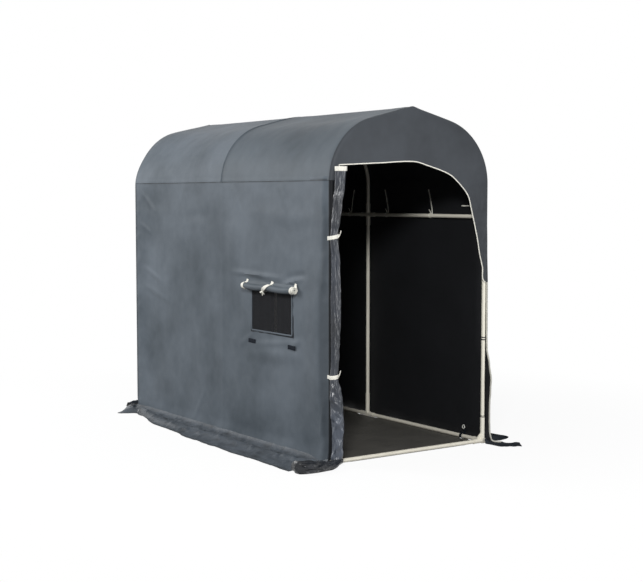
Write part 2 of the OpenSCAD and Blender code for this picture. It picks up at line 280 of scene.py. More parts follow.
def sweep(
    path: Sequence[Vector], across: Sequence[Vector], half_w: float, half_t: float, closed: bool = False
) -> Mesh:
    """Sweeps a flat tape with rounded edges along a path.

    Args:
        path: the points of the tape's middle line.
        across: the way across the tape at each point.
        half_w: half of the tape's width.
        half_t: half of its thickness.
        closed: whether the last point meets the first.

    Returns:
        The closed tape.
    """
    count, around = len(path), 12
    runs = [0.0]
    for one, two in zip(path, path[1:]):
        runs.append(runs[-1] + (two - one).length)

    def place(u: float, v: float) -> Vector:
        """Finds the tape's face at a point of its path and a step round it."""
        i = round(u)
        before, after = path[max(i - 1, 0)], path[min(i + 1, count - 1)]
        if closed and i in (0, count - 1):
            before, after = path[count - 2], path[1]
        up = (after - before).normalized().cross(across[i]).normalized()
        turn = 2 * pi * v / around
        wide, thick = cos(turn), sin(turn)
        return (
            path[i]
            + across[i] * half_w * math.copysign(abs(wide) ** 0.35, wide)
            + up * half_t * math.copysign(abs(thick) ** 0.6, thick)
        )

    tape = lay_cloth(
        [float(i) for i in range(count)], [float(k) for k in range(around + 1)], place, Vector((0, 0, 1)),
        flat=lambda u, v: (runs[round(u)], half_w * cos(2 * pi * v / around)),
    )
    bmesh.ops.remove_doubles(tape, verts=tape.verts[:], dist=1e-6)
    open_edges = [edge for edge in tape.edges if edge.is_boundary]
    if open_edges:
        bmesh.ops.holes_fill(tape, edges=open_edges, sides=0)
    bmesh.ops.recalc_face_normals(tape, faces=tape.faces[:])
    return tape


class Route:
    """A run of points that is read by the share of its length."""

    def __init__(self, points: Sequence[Vector]) -> None:
        """Notes the points and the length up to each."""
        self.points = list(points)
        self.runs = [0.0]
        for one, two in zip(points, points[1:]):
            self.runs.append(self.runs[-1] + (two - one).length)

    def at(self, share: float) -> Vector:
        """Finds the point at a share of the length.

        Args:
            share: the share, from 0 to 1.

        Returns:
            The point.
        """
        goal = share * self.runs[-1]
        last = len(self.runs) - 1
        k = next((i for i in range(1, last) if self.runs[i] >= goal), last)
        part = (goal - self.runs[k - 1]) / (self.runs[k] - self.runs[k - 1])
        return self.points[k - 1].lerp(self.points[k], part)


def smooth_line(knots: Sequence[Vector], step: float) -> list[Vector]:
    """Draws a smooth curve through a few points.

    Args:
        knots: the points to pass through.
        step: the gap between the points that come back, about.

    Returns:
        Points along the curve, with both ends.
    """
    points = [knots[0].copy()]
    for k, (one, two) in enumerate(zip(knots, knots[1:])):
        before, after = knots[max(k - 1, 0)], knots[min(k + 2, len(knots) - 1)]
        third = (two - one).length / 3
        lead = one + (two - before).normalized() * third
        trail = two - (after - one).normalized() * third
        count = max(2, math.ceil(third * 3 / step))
        points += [Vector(p) for p in interpolate_bezier(one, lead, trail, two, count + 1)[1:]]
    return points


def headings(path: Sequence[Vector]) -> list[Vector]:
    """Gives the step from the point before to the point after, at each point of a path."""
    last = len(path) - 1
    return [path[min(k + 1, last)] - path[max(k - 1, 0)] for k in range(len(path))]


def face_out(cloth: Mesh, way: Vector) -> None:
    """Turns a rolled cloth's faces so that its outermost turn looks outwards.

    Args:
        cloth: the open sheet.
        way: the way in which the outermost face is looked for.
    """
    cloth.normal_update()
    face = max(cloth.faces, key=lambda f: f.calc_center_median().dot(way))
    if face.normal.dot(way) < 0:
        bmesh.ops.reverse_faces(cloth, faces=cloth.faces[:])


def gather(parts: Sequence[Mesh]) -> Mesh:
    """Puts several meshes into the first of them.

    Args:
        parts: the meshes, of which all but the first are used up.

    Returns:
        The first mesh with all the others in it.
    """
    whole = parts[0]
    for part in parts[1:]:
        carrier = bpy.data.meshes.new("carrier")
        part.to_mesh(carrier)
        part.free()
        whole.from_mesh(carrier)
        bpy.data.meshes.remove(carrier)
    return whole


def make_piece(
    name: str,
    mesh: Mesh,
    finishes: Sequence[Material],
    slot: Slot,
    stands_for: Sequence[str] = (),
    sharp: float = 48.0,
) -> bpy.types.Object:
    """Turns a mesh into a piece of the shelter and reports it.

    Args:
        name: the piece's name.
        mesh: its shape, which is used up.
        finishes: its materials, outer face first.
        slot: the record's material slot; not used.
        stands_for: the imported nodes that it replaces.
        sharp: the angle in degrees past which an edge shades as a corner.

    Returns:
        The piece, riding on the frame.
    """
    for edge in mesh.edges:
        edge.smooth = not (edge.is_manifold and edge.calc_face_angle(0.0) > radians(sharp))
    for face in mesh.faces:
        face.smooth = True
    data = bpy.data.meshes.new(name)
    mesh.to_mesh(data)
    mesh.free()
    for finish in finishes:
        data.materials.append(finish)
    piece = bpy.data.objects.new(name, data)
    bpy.context.scene.collection.objects.link(piece)
    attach(piece, ROOT)
    if stands_for:
        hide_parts(*stands_for)
    LOG.info("%s: %d faces", name, len(data.polygons))
    return piece


def make_sheet(
    name: str,
    cloth: Mesh,
    finishes: Sequence[Material],
    slot: Slot,
    node: str,
    flat: Pair,
    hold: Hold,
    thickness: float = CLOTH_T,
    turned: float = 0.0,
) -> None:
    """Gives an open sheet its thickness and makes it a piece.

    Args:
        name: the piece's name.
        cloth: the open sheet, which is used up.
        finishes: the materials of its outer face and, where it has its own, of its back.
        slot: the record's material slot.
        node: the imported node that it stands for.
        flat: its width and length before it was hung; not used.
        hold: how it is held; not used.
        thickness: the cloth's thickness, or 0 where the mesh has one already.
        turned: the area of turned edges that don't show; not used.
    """
    hung = thicken(cloth, thickness, len(finishes) - 1) if thickness else 0.0
    piece = make_piece(name, cloth, finishes, slot, [node])


@dataclass(frozen=True)
class Finish:
    """A material, by the common name of what it is made of."""

    name: str

    def start(self) -> tuple[Material, Tree, bpy.types.Node, Socket]:
        """Makes the material with its plain shader.

        Returns:
            The material, its nodes, the shader and the place on the object.
        """
        material = bpy.data.materials.new(self.name)
        material.use_nodes = True
        tree = material.node_tree
        return material, tree, tree.nodes["Principled BSDF"], add_node(tree, "TexCoord").outputs["Object"]


@dataclass(frozen=True)
class CoatedPolyester(Finish):
    """Polyester plain weave, dyed in the yarn and coated on its back.

    The threads give a close grain, the coat a soft sheen, and dust and handling a cloudy tone.
    """

    ground: str
    dusty: str
    seam: str
    thread: float = 0.0028
    cloud: float = 0.34
    gloss: Pair = (0.46, 0.62)
    shine: float = 0.14
    fuzz: float = 0.03
    crease: float = 0.0
    crease_w: float = 0.05
    drawn: float = 1.0

    def make(self) -> Material:
        """Builds the cloth's nodes.

        Returns:
            The material.
        """
        material, tree, shader, spot = self.start()
        shader.inputs["Sheen Weight"].default_value = self.fuzz
        shader.inputs["Sheen Roughness"].default_value = 0.45
        shader.inputs["Specular IOR Level"].default_value = self.shine
        uv = add_node(tree, "UVMap", {"uv_map": CLOTH_UV}).outputs["UV"]
        # The real threads are 0.6 mm apart; they are drawn about four times as coarse so that they show.
        bands = 2 * pi / 20 / self.thread
        warp, weft = (
            add_node(tree, "TexWave", {"bands_direction": way, "Scale": bands}, {"Vector": uv}) for way in "XY"
        )
        weave = add_node(tree, "Math", {"operation": "MULTIPLY"}, {0: warp.outputs["Fac"], 1: weft.outputs["Fac"]})
        cloud = add_node(
            tree, "TexNoise", {"Scale": 1 / self.cloud, "Detail": 4.0, "Roughness": 0.6}, {"Vector": spot}
        )
        clear = add_node(tree, "MapRange", {"From Min": 0.32, "From Max": 0.68}, {"Value": cloud.outputs["Fac"]})
        tone = add_node(
            tree, "Mix", {"data_type": "RGBA", 6: linear(self.ground), 7: linear(self.dusty)},
            {0: clear.outputs["Result"]},
        )
        # The sewn layer mixes in the seam tone: dark for sewn lines and for painted shade and shadow, and on the
        # door's bag a paler tone that is a painted highlight.
        line = add_node(tree, "Attribute", {"attribute_name": SEAM_AND_PAINTED_LIGHT})
        sewn = add_node(
            tree, "Mix", {"data_type": "RGBA", 7: linear(self.seam)}, {0: line.outputs["Fac"], 6: tone.outputs[2]}
        )
        tree.links.new(sewn.outputs[2], shader.inputs["Base Color"])
        gloss = add_node(
            tree, "MapRange", {"To Min": self.gloss[0], "To Max": self.gloss[1]}, {"Value": cloud.outputs["Fac"]}
        )
        tree.links.new(gloss.outputs["Result"], shader.inputs["Roughness"])
        # Slack between the threads: shallow dents some 30 mm across
        dents = add_node(tree, "TexNoise", {"Scale": 1 / 0.03, "Detail": 2.0}, {"Vector": spot})
        slack = add_node(tree, "Bump", {"Strength": 0.3, "Distance": 0.0012}, {"Height": dents.outputs["Fac"]})
        long = add_node(tree, "VectorMath", {"operation": "MULTIPLY", 1: (1.0, 1.0, self.drawn)}, {0: spot})
        ridges = add_node(
            tree,
            "TexNoise",
            {
                "noise_type": "RIDGED_MULTIFRACTAL",
                "Scale": 1 / self.crease_w,
                "Detail": 1.0,
                "Roughness": 0.4,
                "Offset": 1.0,
                "Gain": 1.6,
            },
            {"Vector": long.outputs["Vector"]},
        )
        creased = add_node(
            tree, "Bump", {"Strength": 1.0, "Distance": self.crease},
            {"Height": ridges.outputs["Fac"], "Normal": slack.outputs["Normal"]},
        )
        grain = add_node(
            tree, "Bump", {"Strength": 0.3, "Distance": 0.0003},
            {"Height": weave.outputs[0], "Normal": creased.outputs["Normal"]},
        )
        tree.links.new(grain.outputs["Normal"], shader.inputs["Normal"])
        return material


@dataclass(frozen=True)
class RubberyBack(Finish):
    """Black polymer coat spread on the back of the cloth: smooth, close to black, faintly pebbled."""

    coat: str
    bloom: str

    def make(self) -> Material:
        """Builds the coat's nodes.

        Returns:
            The material.
        """
        material, tree, shader, spot = self.start()
        shader.inputs["Roughness"].default_value = 0.62
        shader.inputs["Specular IOR Level"].default_value = 0.3
        cloud = add_node(tree, "TexNoise", {"Scale": 1 / 0.2, "Detail": 4.0}, {"Vector": spot})
        tone = add_node(
            tree, "Mix", {"data_type": "RGBA", 6: linear(self.coat), 7: linear(self.bloom)},
            {0: cloud.outputs["Fac"]},
        )
        tree.links.new(tone.outputs[2], shader.inputs["Base Color"])
        pebble = add_node(tree, "TexNoise", {"Scale": 1 / 0.006, "Detail": 2.0}, {"Vector": spot})
        bump = add_node(tree, "Bump", {"Strength": 0.25, "Distance": 0.0006}, {"Height": pebble.outputs["Fac"]})
        tree.links.new(bump.outputs["Normal"], shader.inputs["Normal"])
        return material


@dataclass(frozen=True)
class PowderCoat(Finish):
    """Powder coat baked on steel tube: an even cream with a fine orange-peel skin, dusty near the ground."""

    coat: str
    chalk: str
    dirt: str

    def make(self) -> Material:
        """Builds the coat's nodes.

        Returns:
            The material.
        """
        material, tree, shader, spot = self.start()
        shader.inputs["Coat Weight"].default_value = 0.15
        shader.inputs["Coat Roughness"].default_value = 0.25
        cloud = add_node(tree, "TexNoise", {"Scale": 1 / 0.09, "Detail": 5.0}, {"Vector": spot})
        tone = add_node(
            tree, "Mix", {"data_type": "RGBA", 6: linear(self.coat), 7: linear(self.chalk)},
            {0: cloud.outputs["Fac"]},
        )
        axes = add_node(tree, "SeparateXYZ", {}, {"Vector": spot})
        low = add_node(
            tree, "MapRange", {"From Min": 0.0, "From Max": 0.05, "To Min": 0.55, "To Max": 0.0},
            {"Value": axes.outputs["Z"]},
        )
        patch = add_node(tree, "TexNoise", {"Scale": 1 / 0.025, "Detail": 6.0}, {"Vector": spot})
        amount = add_node(
            tree, "Math", {"operation": "MULTIPLY"}, {0: low.outputs["Result"], 1: patch.outputs["Fac"]}
        )
        soiled = add_node(
            tree, "Mix", {"data_type": "RGBA", 7: linear(self.dirt)}, {0: amount.outputs[0], 6: tone.outputs[2]}
        )
        tree.links.new(soiled.outputs[2], shader.inputs["Base Color"])
        gloss = add_node(tree, "MapRange", {"To Min": 0.3, "To Max": 0.48}, {"Value": cloud.outputs["Fac"]})
        tree.links.new(gloss.outputs["Result"], shader.inputs["Roughness"])
        # Orange peel: swells some 2 mm across
        peel = add_node(tree, "TexNoise", {"Scale": 1 / 0.002, "Detail": 1.0}, {"Vector": spot})
        bump = add_node(tree, "Bump", {"Strength": 0.12, "Distance": 0.0002}, {"Height": peel.outputs["Fac"]})
        tree.links.new(bump.outputs["Normal"], shader.inputs["Normal"])
        return material


@dataclass(frozen=True)
class WovenTape(Finish):
    """Narrow woven tape: cross ribs along its length and a fuzzy, matt face."""

    yarn: str
    shade: str
    rib: float = 0.003
    fuzz: float = 0.2
    shine: float = 0.5

    def make(self) -> Material:
        """Builds the tape's nodes.

        Returns:
            The material.
        """
        material, tree, shader, spot = self.start()
        shader.inputs["Roughness"].default_value = 0.78
        shader.inputs["Specular IOR Level"].default_value = self.shine
        shader.inputs["Sheen Weight"].default_value = self.fuzz
        uv = add_node(tree, "UVMap", {"uv_map": CLOTH_UV}).outputs["UV"]
        # Ribs of 1 mm are drawn three times as coarse so that they show.
        ribs = add_node(
            tree, "TexWave", {"bands_direction": "X", "Scale": 2 * pi / 20 / self.rib, "Distortion": 0.6},
            {"Vector": uv},
        )
        dirt_and_shade = add_node(tree, "TexNoise", {"Scale": 1 / 0.02, "Detail": 5.0}, {"Vector": spot})
        mixed = add_node(tree, "Math", {"operation": "MULTIPLY"}, {0: ribs.outputs["Fac"], 1: dirt_and_shade.outputs["Fac"]})
        tone = add_node(
            tree, "Mix", {"data_type": "RGBA", 6: linear(self.yarn), 7: linear(self.shade)}, {0: mixed.outputs[0]}
        )
        tree.links.new(tone.outputs[2], shader.inputs["Base Color"])
        bump = add_node(tree, "Bump", {"Strength": 0.4, "Distance": 0.0004}, {"Height": ribs.outputs["Fac"]})
        tree.links.new(bump.outputs["Normal"], shader.inputs["Normal"])
        return material


@dataclass(frozen=True)
class TapeWeave(Finish):
    """Woven flat polythene tapes with a film on top, as in a tarpaulin: a slick face with a square check."""

    tone: str
    patchy_or_worn: str
    tape: float = 0.006

    def make(self) -> Material:
        """Builds the sheet's nodes.

        Returns:
            The material.
        """
        material, tree, shader, spot = self.start()
        uv = add_node(tree, "UVMap", {"uv_map": CLOTH_UV}).outputs["UV"]
        # Tapes of 2.5 mm are drawn over twice as wide so that they show.
        check = add_node(tree, "TexChecker", {"Scale": 1 / self.tape}, {"Vector": uv})
        scuff = add_node(tree, "TexNoise", {"Scale": 1 / 0.12, "Detail": 6.0}, {"Vector": spot})
        tone = add_node(
            tree, "Mix", {"data_type": "RGBA", 6: linear(self.tone), 7: linear(self.patchy_or_worn)},
            {0: scuff.outputs["Fac"]},
        )
        tree.links.new(tone.outputs[2], shader.inputs["Base Color"])
        gloss = add_node(tree, "MapRange", {"To Min": 0.42, "To Max": 0.7}, {"Value": scuff.outputs["Fac"]})
        tree.links.new(gloss.outputs["Result"], shader.inputs["Roughness"])
        bump = add_node(tree, "Bump", {"Strength": 0.3, "Distance": 0.0003}, {"Height": check.outputs["Fac"]})
        tree.links.new(bump.outputs["Normal"], shader.inputs["Normal"])
        return material


@dataclass(frozen=True)
class MouldedAcetal(Finish):
    """Moulded acetal: waxy, pale and half glossy, with faint flow marks."""

    tone: str
    flow: str

    def make(self) -> Material:
        """Builds the plastic's nodes.

        Returns:
            The material.
        """
        material, tree, shader, spot = self.start()
        shader.inputs["Roughness"].default_value = 0.34
        marks = add_node(tree, "TexNoise", {"Scale": 1 / 0.006, "Detail": 2.0}, {"Vector": spot})
        tone = add_node(
            tree, "Mix", {"data_type": "RGBA", 6: linear(self.tone), 7: linear(self.flow)},
            {0: marks.outputs["Fac"]},
        )
        tree.links.new(tone.outputs[2], shader.inputs["Base Color"])
        return material


@dataclass(frozen=True)
class StudioFloor(Finish):
    """Pale seamless paper: white to the eye, with the shelter's soft shadow on it."""

    paper: str
    bounce: str
    lift: float = 0.92
    near: float = 1.2
    far: float = 2.6

    def make(self) -> Material:
        """Builds the paper's nodes.

        Returns:
            The material.
        """
        material, tree, shader, spot = self.start()
        tree.nodes.remove(shader)
        seen = seen_by_eye(tree)
        tone = add_node(
            tree, "Mix", {"data_type": "RGBA", 6: linear(self.bounce), 7: linear(self.paper)}, {0: seen}
        )
        matt = add_node(tree, "BsdfDiffuse", {}, {"Color": tone.outputs[2]})
        glow = add_node(tree, "Emission", {"Strength": 1.0})
        away = add_node(tree, "VectorMath", {"operation": "LENGTH"}, {0: spot})
        lift = add_node(
            tree, "MapRange", {"From Min": self.near, "From Max": self.far, "To Min": self.lift, "To Max": 1.0},
            {"Value": away.outputs["Value"]},
        )
        share = add_node(tree, "Math", {"operation": "MULTIPLY"}, {0: seen, 1: lift.outputs["Result"]})
        mix = add_node(
            tree, "MixShader", {}, {0: share.outputs[0], 1: matt.outputs["BSDF"], 2: glow.outputs["Emission"]}
        )
        tree.links.new(mix.outputs["Shader"], tree.nodes["Material Output"].inputs["Surface"])
        return material


def seen_by_eye(tree: Tree) -> Socket:
    """Gives 1 for rays from the camera and for those mirrored or passed through on their way.

    Args:
        tree: the nodes of the floor or the world.

    Returns:
        The output that holds the amount.
    """
    path = add_node(tree, "LightPath").outputs
    some = add_node(tree, "Math", {"operation": "MAXIMUM"}, {0: path["Is Camera Ray"], 1: path["Is Glossy Ray"]})
    every = add_node(tree, "Math", {"operation": "MAXIMUM"}, {0: some.outputs[0], 1: path["Is Transmission Ray"]})
    return every.outputs[0]


class Finishes:
    """The finishes of the shelter, made once."""

    def __init__(self) -> None:
        """Makes every material."""
        self.cover = CoatedPolyester("coated_polyester_slate", "#434b52", "#616971", "#101215").make()
        # Painted light: the rear roof takes a lighter copy of the cover cloth, and the front roof, which the window
        # flap also takes, a slightly darker copy for painted shade.
        self.rear_roof = CoatedPolyester("coated_polyester_rear_roof_painted_light", "#495158", "#666e76", "#101215").make()
        self.roof = CoatedPolyester("coated_polyester_front_roof_painted_shade", "#434a50", "#5a6269", "#101215").make()
        # Painted shade: the gable takes a darker copy of the cover cloth.
        self.gable = CoatedPolyester("coated_polyester_gable_painted_shade", "#383b3f", "#494d52", "#101215").make()
        # Painted shade: the skirt takes a darker copy of the cover cloth.
        self.skirt = CoatedPolyester(
            "coated_polyester_skirt_painted_shade", "#353b41", "#4b525a", "#0c0e10",
            cloud=0.16, gloss=(0.3, 0.46), shine=0.4, crease=0.0016, crease_w=0.08,
        ).make()
        # Painted shade: the rolled door takes a much darker copy of the cover cloth, and its pale seam tone paints a
        # highlight on the bag at its foot.
        self.door = CoatedPolyester(
            "coated_polyester_door_painted_shade_and_highlight", "#171b22", "#2a303a", "#4b525e",
            cloud=0.2, gloss=(0.26, 0.33), shine=0.55, crease=0.0007, crease_w=0.036, drawn=0.3,
        ).make()
        # Painted shade: the right and rear skirts and the tab take a darker copy of the skirt cloth, for the
        # shelter's shade on them.
        self.far_skirt = CoatedPolyester(
            "coated_polyester_far_skirt", "#292c30", "#393d42", "#0c0e10",
            cloud=0.14, gloss=(0.62, 0.76), shine=0.0, fuzz=0.0, crease=0.0012, crease_w=0.08,
        ).make()
        self.cuff = CoatedPolyester(
            "coated_polyester_cuff", "#0b0e12", "#151920", "#0a0b0d",
            cloud=0.12, gloss=(0.26, 0.38), shine=0.45, crease=0.002,
        ).make()
        self.back = RubberyBack("black_polymer_coat", "#101113", "#1a1b1e").make()
        self.steel = PowderCoat("powder_coated_steel", "#efebdd", "#e4dfcf", "#857c6c").make()
        self.tape = WovenTape("woven_polyester_tape_cream", "#f4f2e8", "#d8d4c5").make()
        self.zip_tape = WovenTape("woven_polyester_tape_grey", "#c9c7bd", "#a5a297").make()
        self.dark = WovenTape("woven_nylon_tape_black", "#11151c", "#1b212b", rib=0.002, fuzz=0.0, shine=0.1).make()
        self.net = WovenTape("knitted_polyester_net", "#1e1f23", "#151619", rib=0.004, fuzz=0.03, shine=0.25).make()
        self.floor = TapeWeave("polythene_tape_weave", "#403f3c", "#55534e").make()
        self.button = MouldedAcetal("moulded_acetal", "#d9d9d2", "#c6c6be").make()


@dataclass(frozen=True)
class HoopLine:
    """Cross line of the tube hoops: two posts, two bends and a low pitched roof.

    A place on it is its girth: the length of cloth from the left foot, up the wall and over the roof.
    """

    half_w: float = 0.445
    half_d: float = 0.925
    bend_x: float = 0.16
    bend_h: float = 1.245
    bend_r: float = 0.285
    pitch: float = radians(14.5)
    skin: float = 0.0139

    @property
    def bend_run(self) -> float:
        """Length of cloth over one bend."""
        return (self.bend_r + self.skin) * (pi / 2 - self.pitch)

    @property
    def crown(self) -> float:
        """Length of cloth from the ground to the ridge."""
        reach = self.bend_x + (self.bend_r + self.skin) * sin(self.pitch)
        return self.bend_h + self.bend_run + reach / cos(self.pitch)

    def run(self, girth: float) -> float:
        """Gives the length of cloth up from the nearer foot."""
        return min(girth, 2 * self.crown - girth)

    def at(self, girth: float) -> tuple[Vector, Vector]:
        """Finds a place on the hoop.

        Args:
            girth: the length of cloth from the left foot.

        Returns:
            The point on the tube's middle line, and the way outwards there.
        """
        side = -1.0 if girth <= self.crown else 1.0
        run = self.run(girth)
        if run <= self.bend_h:
            return Vector((side * self.half_w, 0, run)), Vector((side, 0, 0))
        turn = min((run - self.bend_h) / (self.bend_r + self.skin), pi / 2 - self.pitch)
        out = Vector((side * cos(turn), 0, sin(turn)))
        slide = max(0.0, run - self.bend_h - self.bend_run)
        along = Vector((-side * cos(self.pitch), 0, sin(self.pitch)))
        return Vector((side * self.bend_x, 0, self.bend_h)) + out * self.bend_r + along * slide, out


@dataclass(frozen=True)
class Fold:
    """One soft fold in a cloth, from one flat place to another."""

    start: Pair
    end: Pair
    rise: float
    width: float = 0.014

    def lift(self, u: float, v: float) -> float:
        """Gives how far the fold lifts the cloth.

        Args:
            u: the flat place across the cloth.
            v: the flat place along it.

        Returns:
            The distance outwards.
        """
        du, dv = self.end[0] - self.start[0], self.end[1] - self.start[1]
        size = math.hypot(du, dv)
        pu, pv = u - self.start[0], v - self.start[1]
        part = (pu * du + pv * dv) / size ** 2
        off = (pu * dv - pv * du) / size
        if not 0 < part < 1 or abs(off) > 3 * self.width:
            return 0.0
        return self.rise * bell(off, self.width) * sin(pi * part) ** 0.7


# Folds of the wall with the window, by place along the shelter and height
WALL_FOLDS = (
    Fold((-0.08, 0.818), (-0.56, 0.806), 0.0085, 0.011),
    Fold((-0.16, 0.806), (-0.42, 0.792), -0.005, 0.01),
    Fold((-0.54, 0.776), (-0.72, 0.816), 0.01, 0.009),
    Fold((-0.58, 0.812), (-0.76, 0.838), -0.006, 0.014),
    Fold((-0.73, 0.524), (-0.22, 0.474), 0.005, 0.014),
    Fold((-0.72, 0.452), (-0.2, 0.44), 0.008, 0.034),
    Fold((-0.7, 0.54), (-0.6, 0.48), 0.004, 0.012),
    Fold((-0.29, 0.53), (-0.16, 0.46), 0.004, 0.012),
    Fold((0.64, 0.721), (0.86, 0.802), 0.005, 0.013),
    Fold((0.56, 0.62), (0.86, 0.7), 0.004, 0.015),
    Fold((0.68, 1.06), (0.88, 1.22), 0.0045, 0.014),
    Fold((0.76, 0.98), (0.88, 1.04), 0.004, 0.01),
    Fold((-0.905, 0.34), (-0.872, 0.1), 0.005, 0.009),
    Fold((-0.905, 0.96), (-0.878, 0.74), 0.0045, 0.01),
    Fold((-0.905, 1.05), (-0.88, 1.22), 0.004, 0.009),
    Fold((0.3, 0.02), (0.18, 0.2), 0.003, 0.016),
    Fold((-0.1, 1.245), (-0.16, 1.12), 0.0035, 0.012),
    Fold((-0.52, 1.245), (-0.6, 1.08), 0.0035, 0.014),
    Fold((0.42, 1.245), (0.36, 1.14), 0.003, 0.012),
)


@dataclass(frozen=True)
class Drape:
    """How the cover lies on the hoops: taut over the tubes, slack between them."""

    line: HoopLine = HoopLine()
    rail_h: float = 1.09
    seam_run: float = 1.262
    roof_sag: float = 0.011
    wall_sag: float = 0.005
    rumples: Rows = ((0.0062, 1.0), (0.0026, 2.9), (0.0011, 8.0))
    hoop_print: float = 0.0012
    edge_pucker: float = 0.0048
    seam_pucker: float = 0.0016
    flare_h: float = 0.075
    flare: float = 0.011
    rear_x: float = 0.013
    rear_y: float = 0.012
    left_fullness: float = 0.006
    right_tightness: float = 0.0026

    def rear_swell(self, girth: float) -> float:
        """Gives the share of the rear corner's swell at a place on the hoop."""
        run = self.line.run(girth)
        return ramp(run, 0.0, 0.06) * (1 - ramp(run, 1.24, 1.42))

    def drawn_in(self, girth: float) -> float:
        """Gives how far the right shoulder is drawn tight over its tubes."""
        shoulder = sin(pi * ramp(self.line.run(girth), 1.27, 1.7))
        return self.right_tightness * shoulder if girth > self.line.crown else 0.0

    def slack(self, girth: float, y: float) -> float:
        """Gives how far the cloth stands off its taut place, outwards.

        Args:
            girth: the length of cloth from the left foot.
            y: the place along the shelter.

        Returns:
            The distance, which is negative inwards.
        """
        line, run = self.line, self.line.run(girth)
        hoop = min(abs(y), abs(line.half_d - abs(y)))
        bay = abs(sin(pi * y / line.half_d)) ** 1.2
        free = ramp(hoop, 0.008, 0.1) * (1 - bell(run - self.rail_h, 0.03)) * (1 - bell(girth - line.crown, 0.05))
        spot = Vector((y * 2.3, girth * 2.3, 4.7))
        rumple = sum(rise * noise(spot * wave) for rise, wave in self.rumples)
        if run > self.rail_h:
            sag = self.roof_sag * bay * sin(pi * (run - self.rail_h) / (line.crown - self.rail_h))
        else:
            sag = self.wall_sag * bay * sin(pi * run / self.rail_h)
        edge = line.half_d - abs(y)
        hemmed = max(0.0, noise(Vector((girth * 21, y * 9, 2.6))))
        joined = max(0.0, noise(Vector((y * 19, run * 9, 6.2))))
        pucker = self.edge_pucker * bell(edge - 0.026, 0.018) * hemmed
        pucker += self.seam_pucker * bell(run - self.seam_run + 0.03, 0.018) * joined
        ripple = 0.8 + 0.6 * noise(Vector((y * 9, 1.5, girth)))
        flare = self.flare * (1 - ramp(run, 0.0, self.flare_h)) * ripple
        swell = full = 0.0
        if girth < line.crown:
            swell = self.rear_x * self.rear_swell(girth) * bell(y - line.half_d, 0.11)
            full = self.left_fullness * sin(pi * ramp(run, 1.42, line.crown)) * ramp(y, 0.2, 0.85)
        printed = self.hoop_print * bell(y, 0.016)
        return free * (rumple - sag) + printed + pucker + flare + swell + full - self.drawn_in(girth)

    def point(self, girth: float, y: float, lift: float) -> Vector:
        """Finds the outer face of the cover.

        Args:
            girth: the length of cloth from the left foot.
            y: the place along the shelter; past the front posts the cloth turns round them.
            lift: how far it stands off its taut place.

        Returns:
            The point.
        """
        line = self.line
        tube, out = line.at(girth)
        off = line.skin - 0.0005 + lift
        post = -line.half_d
        if y >= post:
            return tube + Vector((0, y, 0)) + out * off
        turn = (post - y) / line.skin
        if turn <= pi / 2:
            return tube + Vector((0, post, 0)) + (out * cos(turn) - Vector((0, sin(turn), 0))) * off
        return tube + Vector((0, post - off, 0)) - out * (turn - pi / 2) * line.skin


